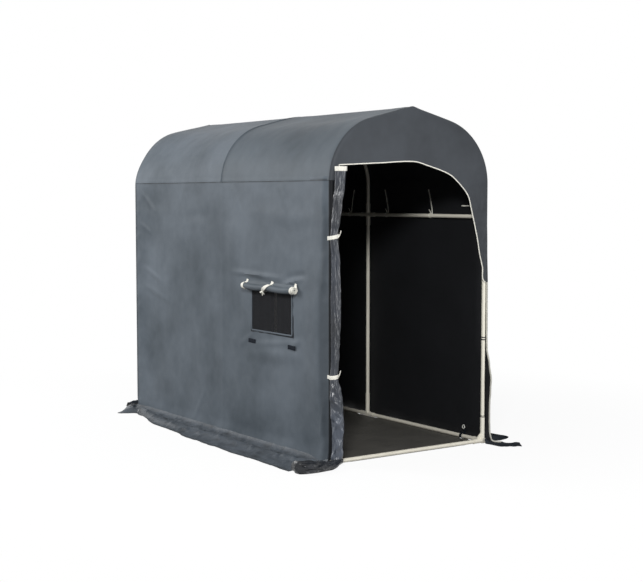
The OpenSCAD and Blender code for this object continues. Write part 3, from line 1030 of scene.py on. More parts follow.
@dataclass
class Cover:
    """The cloth body of the shelter: two walls, two roof panels, the rear wall and the front gable."""

    finishes: Finishes
    drape: Drape = Drape()
    lap: float = 0.012
    wrap: float = 0.052
    swell: float = 0.011
    hem: float = 0.014
    roof_step: float = 0.0125
    left_step: float = 0.0095
    right_step: float = 0.015
    roof_overlap: float = 0.0011
    rear_rise: float = 1.574
    rear_flat: Pair = (0.935, 1.62)
    gable_flat: Pair = (0.93, 0.9)
    gable_turned: float = 0.015 * 3.2
    stand_off: Rows = ((0.36, 0.0), (0.55, 0.014), (0.75, 0.013), (0.95, 0.008), (1.15, 0.003), (1.25, 0.0))
    crest: Rows = (
        (0.03, -0.884), (0.31, -0.855), (0.44, -0.846), (0.7, -0.846), (0.93, -0.866), (1.1, -0.882),
        (1.26, -0.886),
    )
    door_bends: Rows = (
        (-0.415, 1.3245), (-0.2, 1.3355), (0.0, 1.345), (0.075, 1.33), (0.212, 1.2895), (0.274, 1.247),
        (0.329, 1.19), (0.35, 1.127), (0.388, 0.992), (0.405, 0.912), (0.419, 0.865), (0.4245, 0.842),
        (0.424, 0.8), (0.433, 0.784), (0.4425, 0.779),
    )

    def build(self) -> None:
        """Builds every panel."""
        end = self.drape.line.half_d
        self.wall(-1, "left_wall_cloth", "left_wall", self.left_step)
        self.wall(1, "right_wall_cloth", "right_wall", self.right_step)
        self.roof("front_roof_cloth", "front_roof_panel", -end, 0.007, self.roof_overlap)
        self.roof("rear_roof_cloth", "rear_roof_panel", -0.012, end, 0.0)
        self.rear()
        self.gable()

    def wall_point(self, side: int, y: float, run: float, depth: float = 0.0) -> Vector:
        """Finds a point of a long wall's cloth.

        Args:
            side: -1 for the wall with the window, 1 for the other.
            y: the place along the shelter.
            run: the length of cloth up from the ground.
            depth: how far behind the outer face.

        Returns:
            The point.
        """
        drape, line = self.drape, self.drape.line
        girth = run if side < 0 else 2 * line.crown - run
        lift = drape.slack(girth, y) if y > -line.half_d else 0.0
        if side < 0:
            free = ramp(min(abs(y), line.half_d - abs(y)), 0.0, 0.05) * (1 - bell(run - drape.rail_h, 0.03))
            lift += free * sum(fold.lift(y, run) for fold in WALL_FOLDS) + self.front_swell(y, run)
        elif y > -line.half_d - 0.001:
            lift += table(self.stand_off, run) * (1 - ramp(y + line.half_d, 0.0, 0.07))
        return drape.point(girth, y, lift - depth)

    def front_swell(self, y: float, run: float) -> float:
        """Gives how far the left wall swells out before it draws in to the rolled door.

        Args:
            y: the place along the shelter.
            run: the length of cloth up from the ground.

        Returns:
            The distance outwards.
        """
        crest = table(self.crest, run)
        if y > crest:
            return self.swell * bell(y - crest, 0.09)
        return self.swell * (1 - ramp(crest - y, 0.0, crest + self.drape.line.half_d))

    def wall(self, side: int, name: str, node: str, step: float) -> None:
        """Builds one long wall.

        Args:
            side: -1 for the wall with the window, 1 for the other.
            name: the piece's name.
            node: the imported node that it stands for.
            step: the grid's step.
        """
        drape, line = self.drape, self.drape.line
        low, high, sill, head = WINDOW_OPENING
        seam = drape.seam_run
        top = seam + self.lap
        near = [seam - 0.011, seam - 0.008, seam - 0.005, seam - 0.002, top]
        front = -line.half_d - self.wrap if side < 0 else -line.half_d
        turned = [front, -line.half_d, -line.half_d + 0.003, -line.half_d + 0.006]
        along = [*turned, low, high, line.half_d] if side < 0 else [front, line.half_d]
        up = [FOOT_Z, sill, head, *near] if side < 0 else [FOOT_Z, *near]

        def sewn(y: float, run: float) -> float:
            """Gives the share of a sewn line or painted shade at a place along the wall and a run up it."""
            edge = bell(y - line.half_d + 0.004, 0.006) * 0.6
            patchy_or_worn = 0.75 + 0.5 * noise(Vector((y * 13, side, 4.1)))
            if side < 0:
                # Painted shadow: the turned edge beside the rolled door is painted dark for the shade of the gap
                # there, and the band where the wall draws in towards the door takes painted shade.
                edge = max(edge, ramp(-y, line.half_d - 0.006, line.half_d))
                edge = max(edge, 0.34 * ramp(table(self.crest, run) - y, 0.0, 0.03) * (1 - ramp(run, 1.0, 1.2)))
            # The dark line under the roof's lap is partly a stitched line and partly painted shadow under the lap.
            return max(min(1.0, patchy_or_worn) * bell(run - seam + 0.0045, 0.0036), edge)

        cloth = lay_cloth(
            ladder(along, step), ladder(up, step), lambda y, run: self.wall_point(side, y, run),
            Vector((side, 0, 0)), sewn,
        )
        if side < 0:
            hole = []
            for face in cloth.faces:
                mid = face.calc_center_median()
                if low < mid.y < high and sill < mid.z < head:
                    hole.append(face)
            bmesh.ops.delete(cloth, geom=hole, context="FACES")
        make_sheet(
            name, cloth, [self.finishes.cover, self.finishes.back], Slot.COVER, node, (line.half_d - front, top),
            Hold.HUNG,
        )

    def roof(self, name: str, node: str, start: float, end: float, proud: float) -> None:
        """Builds one roof panel, hemmed along its two lower edges and along the middle hoop.

        Args:
            name: the piece's name.
            node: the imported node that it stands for.
            start: its front edge.
            end: its rear edge.
            proud: how far it lies over the other panel at the middle hoop.
        """
        drape, line = self.drape, self.drape.line
        low = drape.seam_run - SEAM_LAP
        hem = low + self.hem
        near = [low, low + 0.004, hem - 0.003, hem]
        girths = [*near, line.crown - 0.02, line.crown, line.crown + 0.02]
        girths += [2 * line.crown - g for g in reversed(near)]
        ys = [start, 0.007, 0.0105, 0.014, 0.03, end]
        if proud:
            ys = [start, -0.012, -0.008, -0.0055, -0.003, 0.0, 0.002, 0.004, end]

        def place(y: float, girth: float) -> Vector:
            """Finds the panel's outer face at a place along the shelter and a girth."""
            run = line.run(girth)
            lift = drape.slack(girth, y) + 0.0015
            lift += 0.0008 * (1 - ramp(run, hem - 0.004, hem))
            crown = bell(girth - line.crown, 0.05)
            if proud:
                lift += (proud * ramp(y, -0.03, -0.012) + 0.0046 * bell(y - 0.0008, 0.0042)) * (1 - crown)
            spot = drape.point(girth, y, lift)
            free = ramp(min(abs(y), line.half_d - abs(y)), 0.06, 0.14)
            spot.z -= 0.0028 * bell(girth - line.crown, 0.014) + 0.0016 * free * crown
            return spot

        def sewn(y: float, girth: float) -> float:
            """Gives the share of a sewn line at the panel's ends and beside the middle hoop."""
            ends = bell(abs(y) - line.half_d + 0.004, 0.005) * 0.5
            return max(ends, 0.25 * bell(y + 0.01, 0.0034)) if proud else ends

        cloth = lay_cloth(ladder(ys, self.roof_step), ladder(girths, self.roof_step), place, UP, sewn)
        # The rear panel takes the lighter copy of the cover cloth and the front panel the darker one: painted light
        # and painted shade.
        finish = self.finishes.roof if proud else self.finishes.rear_roof
        make_sheet(
            name, cloth, [finish, self.finishes.back], Slot.COVER, node, (end - start, girths[-1] - low),
            Hold.STRETCHED,
        )

    def end_point(
        self,
        girth: float,
        part: float,
        inner: Vector,
        way: float,
        lift: float,
        wide_by: float = 0.0,
        deep_by: float = 0.0,
    ) -> Vector:
        """Finds the outer face of an end wall, whose edge turns round the end hoop.

        Args:
            girth: the place on the hoop.
            part: -1 to 0 round the hoop, and 0 to 1 over the flat of the wall.
            inner: the place where the flat of the wall ends, for part 1.
            way: 1 for the rear wall and -1 for the front.
            lift: how far the flat of the wall bulges outwards.
            wide_by: how far the rim stands off the hoop, sideways.
            deep_by: how far it stands off, to the end.

        Returns:
            The point.
        """
        line = self.drape.line
        tube, out = line.at(girth)
        off = line.skin + 0.0002
        turn = (min(part, 0.0) + 1) * pi / 2
        hoop = tube + Vector((0, way * line.half_d, 0))
        if part <= 0:
            # The ridge joint's end keeps the edge square there.
            square = 1 - 0.72 * bell(girth - line.crown, 0.035)
            wide, deep = cos(turn) ** square, sin(turn) ** square
            return hoop + out * wide * (off + wide_by) + Vector((0, way * deep * (off + deep_by), 0))
        flat = tube.lerp(inner, part)
        return Vector((flat.x, way * (line.half_d + off + deep_by + lift), flat.z))

    def rear_point(self, side: int, girth: float, part: float) -> Vector:
        """Finds the outer face of the rear wall.

        Args:
            side: -1 for its left half, 1 for its right half.
            girth: the length of cloth up from that side's foot.
            part: -1 to 0 round the rear hoop, and 0 to 1 from there to the middle.

        Returns:
            The point.
        """
        drape, line = self.drape, self.drape.line
        place = girth if side < 0 else 2 * line.crown - girth
        tube, _ = line.at(place)
        inner = Vector((0, 0, FOOT_Z + (girth / line.crown) * self.rear_rise))
        inward = max(part, 0)
        flat = tube.lerp(inner, inward)
        spot = Vector((flat.x * 2.3, 9.1, flat.z * 2.3))
        free = ramp(inward * abs(tube.x), 0.0, 0.12) * ramp(flat.z, 0.03, 0.15)
        lift = free * (0.005 * noise(spot) + 0.002 * noise(spot * 2.9))
        flare = drape.flare * (1 - ramp(flat.z, 0.0, drape.flare_h)) * ramp(inward, 0, 0.08)
        swell = drape.rear_swell(girth)
        wide_by = drape.rear_x * swell if side < 0 else 0.0
        return self.end_point(place, part, inner, 1.0, lift + flare, wide_by, drape.rear_y * swell)

    def rear(self) -> None:
        """Builds the rear wall, from hoop edge to the middle on both sides."""
        parts = ladder([-1.0, 0.0], 0.2) + ladder([0.0, 1.0], 1 / 30)[1:]
        halves = [
            lay_cloth(
                ladder([FOOT_Z, self.drape.line.crown], 0.016), parts,
                lambda girth, part, side=side: self.rear_point(side, girth, part), Vector((0, 1, 0)),
                lambda girth, part: 0.6 * bell(part + 1, 0.15), lambda girth, part: (part * 0.44, girth),
            )
            for side in (-1, 1)
        ]
        cloth = gather(halves)
        bmesh.ops.remove_doubles(cloth, verts=cloth.verts[:], dist=2e-4)
        make_sheet(
            "rear_wall_cloth", cloth, [self.finishes.cover, self.finishes.back], Slot.COVER, "rear_wall",
            self.rear_flat, Hold.HUNG,
        )

    def door_line(self) -> list[Vector]:
        """Lists the points of the doorway's upper edge, from the left hem to the tip on the right.

        Returns:
            The points, in the plane of the hoop.
        """
        bends = [Vector((x, 0, z)) for x, z in self.door_bends]
        hem = [Vector((bends[0].x, 0, z)) for z in ladder([self.drape.seam_run, bends[0].z], 0.02)]
        return hem[:-1] + smooth_line(bends, 0.018)

    def gable_point(self, edge: Route, u: float, part: float) -> Vector:
        """Finds the outer face of the gable.

        Args:
            edge: the doorway's upper edge.
            u: the share of the way along that edge, from left to right.
            part: -1 to 0 round the front hoop, and 0 to 1 from there to the doorway's edge.

        Returns:
            The point.
        """
        line = self.drape.line
        inner = edge.at(u)
        first = self.drape.seam_run - SEAM_LAP
        last = 2 * line.crown - edge.points[-1].z
        girth = first + u * (last - first)
        flat = line.at(girth)[0].lerp(inner, max(part, 0))
        spot = Vector((flat.x * 2.6, 3.3, flat.z * 2.6))
        free = sin(pi * min(1.0, max(part, 0) ** 0.8)) ** 0.8
        lift = free * (0.006 * noise(spot) + 0.003 * noise(spot * 2.7) + 0.001 * noise(spot * 8))
        pull = ramp(u, 0.55, 0.75) * free * 0.0085 * crumple(Vector((flat.x * 18, 5.0, flat.z * 16)))
        return self.end_point(girth, part, inner, -1.0, lift + max(pull, -0.001), -self.drape.drawn_in(girth))

    def gable(self) -> None:
        """Builds the gable over the doorway."""
        edge = Route(self.door_line())
        cloth = lay_cloth(
            ladder([0.0, 1.0], 1 / 150), ladder([-1.0, 0.0], 0.2) + ladder([0.0, 1.0], 1 / 20)[1:],
            lambda u, part: self.gable_point(edge, u, part), Vector((0, -1, 0)),
            lambda u, part: 0.6 * bell(part + 1, 0.15), lambda u, part: (u * 1.5, part * 0.25),
        )
        # The cut is larger than what shows by a turned edge of 15 mm along the hoop and along the doorway.
        make_sheet(
            "front_gable_cloth", cloth, [self.finishes.gable, self.finishes.back], Slot.COVER, "front_gable",
            self.gable_flat, Hold.STRETCHED, turned=self.gable_turned,
        )


@dataclass
class Doorway:
    """Cream binding round the doorway, and the loose zip strip beside the right post."""

    finishes: Finishes
    cover: Cover
    trim_w: float = 0.0052
    trim_t: float = 0.0032
    strip_w: float = 0.044
    strip_widths: Rows = (
        (0.004, 0.032), (0.2, 0.0325), (0.26, 0.039), (0.31, 0.0435), (0.386, 0.0275), (0.46, 0.011), (0.53, 0.008),
        (0.78, 0.006),
    )
    strip_top: float = 0.778
    strip_flare: float = 0.012
    piping_half: Pair = (0.0036, 0.0028)
    piping_foot: tuple[Triple, ...] = ((0.477, -0.959, 0.014), (0.488, -0.972, 0.0085), (0.512, -0.988, 0.0075))

    def build(self) -> None:
        """Builds the binding and the strip."""
        self.binding()
        self.strip()

    def binding(self) -> None:
        """Builds the tape folded over the doorway's edge."""
        line = self.cover.drape.line
        y = -line.half_d - line.skin - 0.0004
        path = [Vector((p.x, y, p.z)) for p in self.cover.door_line()[2:]]
        across = [step.normalized().cross(Vector((0, 1, 0))).normalized() for step in headings(path)]
        tape = sweep(path, across, self.trim_w / 2, self.trim_t / 2)
        make_piece("doorway_binding", tape, [self.finishes.tape], Slot.TAPE, ["door_trim"])

    def strip_point(self, part: float, z: float) -> Vector:
        """Finds the strip's outer face.

        Args:
            part: the share of the way from the wall's front edge to the strip's free edge.
            z: the height.

        Returns:
            The point.
        """
        line = self.cover.drape.line
        wide = table(self.strip_widths, z)
        wave = 0.004 * part * noise(Vector((part * 2, z * 9, 2.2))) * ramp(wide, 0.008, 0.03)
        flare = self.strip_flare * (1 - ramp(z, 0.0, 0.07)) * part + table(self.cover.stand_off, z) * (1 - part)
        return Vector((line.half_w + line.skin + wave + flare, -line.half_d - part * wide, z))

    def strip(self) -> None:
        """Builds the strip and the grey tape along its free edge."""
        heights = ladder([FOOT_Z, self.strip_top], 0.011)
        cloth = lay_cloth(
            ladder([0.0, 1.0], 1 / 8), heights, self.strip_point, Vector((1, 0, 0)),
            flat=lambda part, z: (part * self.strip_w, z),
        )
        make_sheet(
            "zip_strip_cloth", cloth, [self.finishes.cover, self.finishes.back], Slot.COVER, "zip_strip",
            (self.strip_w, self.strip_top - FOOT_Z), Hold.HUNG,
        )
        self.piping(heights)

    def piping(self, heights: Sequence[float]) -> None:
        """Builds the corded edge of the strip, which runs on along the loose tab on the ground.

        Args:
            heights: the heights of the strip's rows, rising.
        """
        edge = [self.strip_point(1.0, z) + Vector((-0.0006, -0.002, 0)) for z in reversed(heights[3:])]
        foot = [edge[-1], *(Vector(spot) for spot in self.piping_foot)]
        path = edge[:-1] + smooth_line(foot, 0.006)
        across = [step.cross(Vector((0.9, 0.3, 0.3))).normalized() for step in headings(path)]
        tape = sweep(path, across, *self.piping_half)
        make_piece("zip_piping", tape, [self.finishes.zip_tape], Slot.TAPE)


@dataclass(frozen=True)
class Coil:
    """Cross line of a rolled cloth, from its loose inner edge to its sewn outer edge."""

    core: float
    rim: float
    turns: float
    end: float
    fine_turns: float = 1.15

    @property
    def length(self) -> float:
        """Length of cloth in the roll."""
        return pi * self.turns * (self.core + self.rim)

    def parts(self, per_turn: int, fine: int = 1) -> list[float]:
        """Lists shares of the way along the roll.

        Args:
            per_turn: how many there are to a turn.
            fine: how many times as many there are to the last turn.

        Returns:
            The shares, rising to 1.
        """
        last = 1 - self.fine_turns / self.turns
        count = math.ceil((self.turns - self.fine_turns) * per_turn)
        return [last * k / count for k in range(count)] + ladder([last, 1.0], 1 / (self.turns * per_turn * fine))

    def at(self, part: float) -> Pair:
        """Gives the angle and the radius at a share of the way along the roll."""
        return self.end - 2 * pi * self.turns * (1 - part), self.core + (self.rim - self.core) * part

    def run(self, part: float) -> float:
        """Gives the length of cloth from the loose edge."""
        return 2 * pi * self.turns * (self.core * part + (self.rim - self.core) * part * part / 2)


@dataclass
class RolledDoor:
    """The door, rolled up to the left post and held by three straps, with its skirt lying in a cuff."""

    finishes: Finishes
    coil: Coil = Coil(core=0.004, rim=0.03, turns=8.0, end=radians(100))
    cloth_t: float = 0.0009
    bottom: float = 0.0305
    bag_top: float = 0.39
    top: float = 1.3165
    back: float = -0.9405
    middles: Rows = (
        (0.0, -0.447), (0.075, -0.44), (0.16, -0.438), (0.25, -0.447), (0.34, -0.452), (0.397, -0.4555),
        (0.45, -0.45), (0.67, -0.4465), (0.91, -0.4475), (1.012, -0.454), (1.064, -0.4475), (1.15, -0.439),
        (1.25, -0.4265), (1.31, -0.4235),
    )
    girths: Rows = (
        (0.0, 0.9), (0.12, 0.88), (0.21, 1.0), (0.3, 1.0), (0.345, 0.86), (0.375, 0.64), (0.397, 0.57),
        (0.42, 0.57), (0.48, 0.61), (0.67, 0.72), (0.8, 0.71), (0.91, 0.67), (0.98, 0.58), (1.012, 0.52),
        (1.035, 0.52), (1.07, 0.64), (1.15, 0.69), (1.2, 0.73), (1.25, 0.78), (1.32, 0.85),
    )
    shown_way: float = radians(125)
    bag_creases: Waves = ((0.75, 0.06, 0.5), (2.45, 0.052, 0.45))
    roll_creases: Waves = ((0.3, 0.034, 0.5), (-0.35, 0.026, 0.4))
    bag_crease: float = 0.36
    roll_crease: float = 0.13
    straps: Numbers = (1.307, 1.012, 0.397)
    strap_half: Pair = (0.0086, 0.0011)
    top_strap_half: float = 0.0102
    strap_seam: Rows = ((-0.4608, -0.917), (-0.4622, -0.929))
    hook_half: Pair = (0.0024, 0.0014)
    knot_half: Pair = (0.0045, 0.0016)
    cuff_coil: Coil = Coil(core=0.006, rim=0.04, turns=5.5, end=radians(-60))
    cuff_t: float = 0.0008
    cuff_run: float = 0.254
    cuff_start: Pair = (-0.427, -0.972)
    cuff_end: Pair = (-0.681, -0.988)
    cuff_bow: float = 0.027
    cuff_creases: Waves = ((0.5, 0.03, 0.6), (-0.7, 0.042, 0.4))
    cuff_widths: Rows = (
        (0.0, 0.5), (0.3, 0.98), (0.55, 1.22), (0.86, 1.24), (0.965, 1.14), (0.99, 0.8), (1.0, 0.12)
    )
    cuff_heights: Rows = ((0.0, 0.62), (0.3, 0.46), (0.55, 0.52), (0.86, 0.64), (1.0, 0.72))

    def point(self, part: float, z: float, grow: float = 0.0) -> Vector:
        """Finds a point of the rolled cloth.

        Args:
            part: the share of the way along the roll, from its loose edge.
            z: the height.
            grow: a distance to add outside.

        Returns:
            The point.
        """
        angle, radius = self.coil.at(part)
        pinch = min(abs(z - h) for h in self.straps)
        loose = ramp(pinch, 0.012, 0.07)
        bag = (1 - ramp(z, 0.28, 0.38)) * ramp(z, 0.0, 0.05)
        pleat = 0.06 * sin(2 * angle + 1.1 + 1.7 * z) + 0.05 * sin(5 * angle + 9.0 * z + 0.4) * loose
        pleat += 0.07 * sin(9 * angle + 4 * z) * bell(pinch - 0.03, 0.03)
        twist = Vector((cos(angle + 2.2 * z), sin(angle + 2.2 * z), 0))
        wide = crumple(twist * 2.1 + Vector((3.0, 8.0, z * 4.2)))
        fine = crumple(twist * 4.0 + Vector((5.0, 1.0, z * 11)))
        streak = (0.26 * wide + 0.1 * fine) * (1 - bag)
        # Creases are deepest on the face that looks out from the doorway.
        shown = max(0.0, cos(angle + self.shown_way)) ** 0.6
        facet = bag * shown * self.bag_crease * facets(Vector((angle * 0.034, z, 0.3)), self.bag_creases)
        facet += (1 - bag) * shown * self.roll_crease * facets(Vector((angle * 0.026, z, 0.7)), self.roll_creases)
        girth = table(self.girths, z)
        reach = radius * girth * (1 + pleat + (streak + facet) * loose) + grow
        x, y = reach * cos(angle), reach * sin(angle)
        if y > 0:
            y *= 0.78
        cy = self.back - 0.024 * girth - 0.001
        return Vector((table(self.middles, z) + x, min(cy + y, self.back + 0.0012 * (part - 1)), z))

    def build(self) -> None:
        """Builds the roll, its straps and the cuff."""
        heights = ladder([self.bottom, self.bag_top], 0.0062) + ladder([self.bag_top, self.top], 0.0085)[1:]
        # Painted highlight: the bag at the foot of the roll takes the seam's paler tone, which stands in for the
        # sheen on its crushed folds.
        cloth = lay_cloth(
            self.coil.parts(16, 4), heights, self.point, Vector((0, -1, 0)),
            lambda part, z: 0.8 * (1 - ramp(z, 0.19, 0.3)) * ramp(z, 0.015, 0.06),
            lambda part, z: (self.coil.run(part), z),
        )
        face_out(cloth, Vector((0, -1, 0)))
        make_sheet(
            "door_roll_cloth", cloth, [self.finishes.door, self.finishes.back], Slot.COVER, "door_roll",
            (self.coil.length, self.top - self.bottom), Hold.FOLDED, self.cloth_t,
        )
        self.bands()
        self.cuff()

    def bands(self) -> None:
        """Builds the three straps: the lower two start on the wall's edge, and each ends in a hook or a tuck."""
        parts = []
        for k, height in enumerate(self.straps):
            start = radians(-185 if k else -205)
            path = []
            for angle in ladder([start, radians(75)], radians(7)):
                part = 1 - (self.coil.end - angle) / (2 * pi * self.coil.turns)
                path.append(self.point(part, height, 0.0026))
            if not k:
                parts.append(sweep(path, [UP] * len(path), self.top_strap_half, self.strap_half[1]))
                continue
            seam = [Vector((x, y, height)) for x, y in self.strap_seam]
            path = smooth_line([*seam, path[0]], 0.008)[:-1] + path
            for i, spot in enumerate(path):
                spot.z += (0.016 if k == 1 else 0.008) * (i / (len(path) - 1) - 0.5)
            right = max(path, key=lambda p: p.x)
            shares = (0, 0.2, 0.4, 0.6, 0.8, 1.0)
            hook = [right + Vector((0.001 + 0.013 * t, -0.005 * t, -0.006 + 0.028 * t * t)) for t in shares]
            turns = ladder([0, 3.2], 0.4)
            knot = [right + Vector((0.0005, -0.004 + 0.002 * sin(a), 0.008 * cos(a))) for a in turns]
            parts.append(sweep(path, [UP] * len(path), *self.strap_half))
            parts.append(sweep(hook, [Vector((0, 0.6, 0.8))] * len(hook), *self.hook_half))
            parts.append(sweep(knot, [Vector((0.3, 0.95, 0)).normalized()] * len(knot), *self.knot_half))
        make_piece("door_strap_tapes", gather(parts), [self.finishes.tape], Slot.TAPE, ["door_straps"])

    def cuff_point(self, part: float, run: float) -> Vector:
        """Finds a point of the door's skirt, gathered along the ground and fullest at its far end.

        Args:
            part: the share of the way along the roll, from its loose edge.
            run: the distance along the ground.

        Returns:
            The point.
        """
        angle, radius = self.cuff_coil.at(part)
        start, end = Vector((*self.cuff_start, 0)), Vector((*self.cuff_end, 0))
        way = (end - start).normalized()
        side = Vector((-way.y, way.x, 0))
        share = run / self.cuff_run
        spin = Vector((cos(angle), sin(angle), 0))
        full = 1 + 0.06 * sin(3 * angle + 18 * run) + 0.22 * crumple(spin * 1.6 + Vector((0, 0, run * 9)))
        full += 0.1 * facets(Vector((angle * 0.036, run, 0.2)), self.cuff_creases)
        wide = radius * full * table(self.cuff_widths, share)
        flat = table(self.cuff_heights, share)
        spot = start + way * (run + 0.008 * noise(Vector((angle * 0.5, run * 6, 5.5))))
        spot += side * (wide * cos(angle) + self.cuff_bow * sin(pi * share) ** 0.8)
        spot.z = max(0.0016, self.cuff_coil.rim * flat * 0.98 + wide * flat * sin(angle))
        return spot

    def cuff(self) -> None:
        """Builds the skirt's cuff."""
        end = self.cuff_run
        cloth = lay_cloth(
            self.cuff_coil.parts(20, 3), ladder([0.0, end - 0.009, end - 0.003, end], 0.0055), self.cuff_point,
            UP, flat=lambda part, run: (self.cuff_coil.run(part), run),
        )
        face_out(cloth, UP)
        make_sheet(
            "door_skirt_cloth", cloth, [self.finishes.cuff, self.finishes.back], Slot.SKIRT, "door_skirt",
            (self.cuff_coil.length, end), Hold.GATHERED, self.cuff_t,
        )


@dataclass
class Window:
    """Net window in the left wall, with its cover flap rolled up above it."""

    finishes: Finishes
    wall_x: float = -0.4589
    lap: float = 0.013
    mesh: float = 0.0043
    strand: float = 0.0017
    hem_out: Numbers = (-0.003, 0.003, -0.0035, 0.0035)
    hem_half: Pair = (0.0036, 0.0009)
    flap_y: Pair = (-0.679, -0.232)
    flap_z: float = 0.76
    flap_x: float = -0.4775
    flap_t: float = 0.001
    flap_rise: float = 0.028
    seam_z: float = 0.783
    seam_parts: Numbers = (1.03, 1.06, 1.09, 1.12)
    bound_w: float = 0.01
    bound_t: float = 0.0022
    coil: Coil = Coil(core=0.003, rim=0.0175, turns=4.0, end=radians(50))
    ties: Numbers = (-0.663, -0.446, -0.247)
    slants: Numbers = (0.003, 0.028, -0.003)
    tie_half: float = 0.0072
    knotted_half: float = 0.0092
    tie_t: float = 0.0012
    tails: Rows = ((-0.024, 0.012), (-0.01, 0.02), (0.01, 0.008))
    tail_half: Pair = (0.004, 0.0009)
    patch_z: float = 0.494
    patch_half: Pair = (0.01, 0.0014)

    def build(self) -> None:
        """Builds the net, its hem, the rolled flap and what fastens it."""
        self.net()
        self.hem()
        self.flap()
        self.tie_tapes()
        self.patches()

    def net(self) -> None:
        """Builds the knitted net as strands that cross."""
        low, high, sill, head = WINDOW_OPENING

        def place(y: float, z: float) -> Vector:
            """Finds the net's face at a place along the wall and a height."""
            dip = 0.0012 * sin(pi * (y - low) / (high - low))
            dip += 0.0006 * noise(Vector((y * 20, z * 20, 1)))
            return Vector((self.wall_x + 0.0021 + dip, y, z))

        net = lay_cloth(
            ladder([low - self.lap, high + self.lap], self.mesh),
            ladder([sill - self.lap, head + self.lap], self.mesh), place, Vector((-1, 0, 0)),
        )
        flat = ((high - low) + 2 * self.lap, (head - sill) + 2 * self.lap)
        bmesh.ops.wireframe(
            net, faces=net.faces[:], thickness=self.strand, use_replace=True, use_boundary=True, use_even_offset=True
        )
        make_sheet(
            "window_net_strands", net, [self.finishes.net], Slot.NET, "window_mesh", flat, Hold.STRETCHED,
            thickness=0.0,
        )

    def hem(self) -> None:
        """Builds the turned hem round the opening."""
        low, high, sill, head = (v + d for v, d in zip(WINDOW_OPENING, self.hem_out))
        corners = [(low, sill), (high, sill), (high, head), (low, head), (low, sill)]
        path: list[Vector] = []
        across: list[Vector] = []
        for (y0, z0), (y1, z1) in zip(corners, corners[1:]):
            out = Vector((0, z1 - z0, -(y1 - y0))).normalized()
            for k in range(17):
                t = 0.012 + 0.976 * k / 16
                y, z = y0 + (y1 - y0) * t, z0 + (z1 - z0) * t
                ripple = 0.0007 * noise(Vector((y * 40, z * 40, 3)))
                path.append(Vector((self.wall_x - 0.0009 + ripple, y, z)))
                across.append(out)
        path.append(path[0].copy())
        across.append(across[0])
        tape = sweep(path, across, *self.hem_half, closed=True)
        make_piece("window_hem", tape, [self.finishes.cover], Slot.COVER)

    def flap_point(self, part: float, y: float, grow: float = 0.0) -> Vector:
        """Finds a point of the rolled flap.

        Args:
            part: the share of the way along the roll; past 1 it runs up to its seam on the wall.
            y: the place along the wall.
            grow: a distance to add outside.

        Returns:
            The point.
        """
        angle, radius = self.coil.at(min(part, 1.0))
        tied = min(abs(y - t) for t in self.ties)
        full = 0.93 + 0.09 * ramp(tied, 0.008, 0.06) + 0.03 * sin(2 * angle + 12 * y)
        full += 0.05 * crumple(Vector((cos(angle), sin(angle), y * 12)))
        reach = radius * full + grow
        sag = 0.004 * sin(pi * (y - self.flap_y[0]) / (self.flap_y[1] - self.flap_y[0]) * 2) ** 2
        spot = Vector((self.flap_x + reach * cos(angle), y, self.flap_z - sag + reach * sin(angle)))
        if part > 1.0:
            seam = Vector((self.wall_x - 0.0022, y, self.seam_z + 0.001 * noise(Vector((y * 30, 2, 2)))))
            spot = spot.lerp(seam, (part - 1.0) / 0.12)
        spot.x = min(spot.x, self.wall_x - 0.0012)
        return spot

    def flap(self) -> None:
        """Builds the flap and the cream tape bound over its two ends."""
        parts = self.coil.parts(20, 2) + list(self.seam_parts)
        first, last = self.flap_y
        away = Vector((-1, 0, 0))
        cloth = lay_cloth(
            parts, ladder([first, last], 0.009), self.flap_point, UP,
            flat=lambda part, y: (self.coil.run(min(part, 1.0)) + 0.23 * max(part - 1, 0), y),
        )
        face_out(cloth, away)
        # The flap takes the front roof's slightly darker copy of the cover cloth, painted shade.
        make_sheet(
            "window_flap_cloth", cloth, [self.finishes.roof], Slot.COVER, "window_flap",
            (self.coil.length + self.flap_rise, last - first), Hold.FOLDED, self.flap_t,
        )
        bound = []
        for low, high in ((first - 0.0015, first + self.bound_w), (last - self.bound_w, last + 0.0015)):
            tape = lay_cloth(
                parts[10:-2], ladder([low, high], 0.004), lambda part, y: self.flap_point(part, y, 0.0006), UP,
                flat=lambda part, y: (self.coil.run(min(part, 1.0)), y),
            )
            face_out(tape, away)
            thicken(tape, self.bound_t)
            bound.append(tape)
        make_piece("window_flap_binding", gather(bound), [self.finishes.tape], Slot.TAPE)

    def tie_tapes(self) -> None:
        """Builds the three ties: a turn round the roll, a tab on the wall, and the loose ends of the middle one."""
        parts = []
        for y, slant in zip(self.ties, self.slants):
            knotted = slant > 0.01
            ring = []
            for step in range(41):
                part = 1 - (1 - step / 40) / self.coil.turns
                angle, _ = self.coil.at(part)
                ring.append(self.flap_point(part, y, 0.0022) - Vector((0, slant * sin(angle), 0)))
            top = ring[-1]
            tab = Vector((self.wall_x - 0.0036, top.y - 0.004, self.seam_z + 0.007))
            ring += [top.lerp(tab, t) for t in (0.35, 0.7, 1.0)]
            outs = [Vector((spot.x - self.flap_x, 0, spot.z - self.flap_z)) for spot in ring[:40]]
            outs += [Vector((1, 0, 0.3))] * (len(ring) - 40)
            across = [way.cross(out).normalized() for way, out in zip(headings(ring), outs)]
            parts.append(sweep(ring, across, self.knotted_half if knotted else self.tie_half, self.tie_t))
            if knotted:
                low = min(ring, key=lambda p: p.z + 0.3 * p.x)
                for lean, drop in self.tails:
                    shares = (0, 0.25, 0.5, 0.75, 1.0)
                    tail = [low + Vector((-0.004 - 0.006 * t, lean * t, -drop * t)) for t in shares]
                    parts.append(sweep(tail, [Vector((0, 0.7, 0.7)).normalized()] * len(tail), *self.tail_half))
        make_piece("window_tie_tapes", gather(parts), [self.finishes.tape], Slot.TAPE, ["window_ties"])

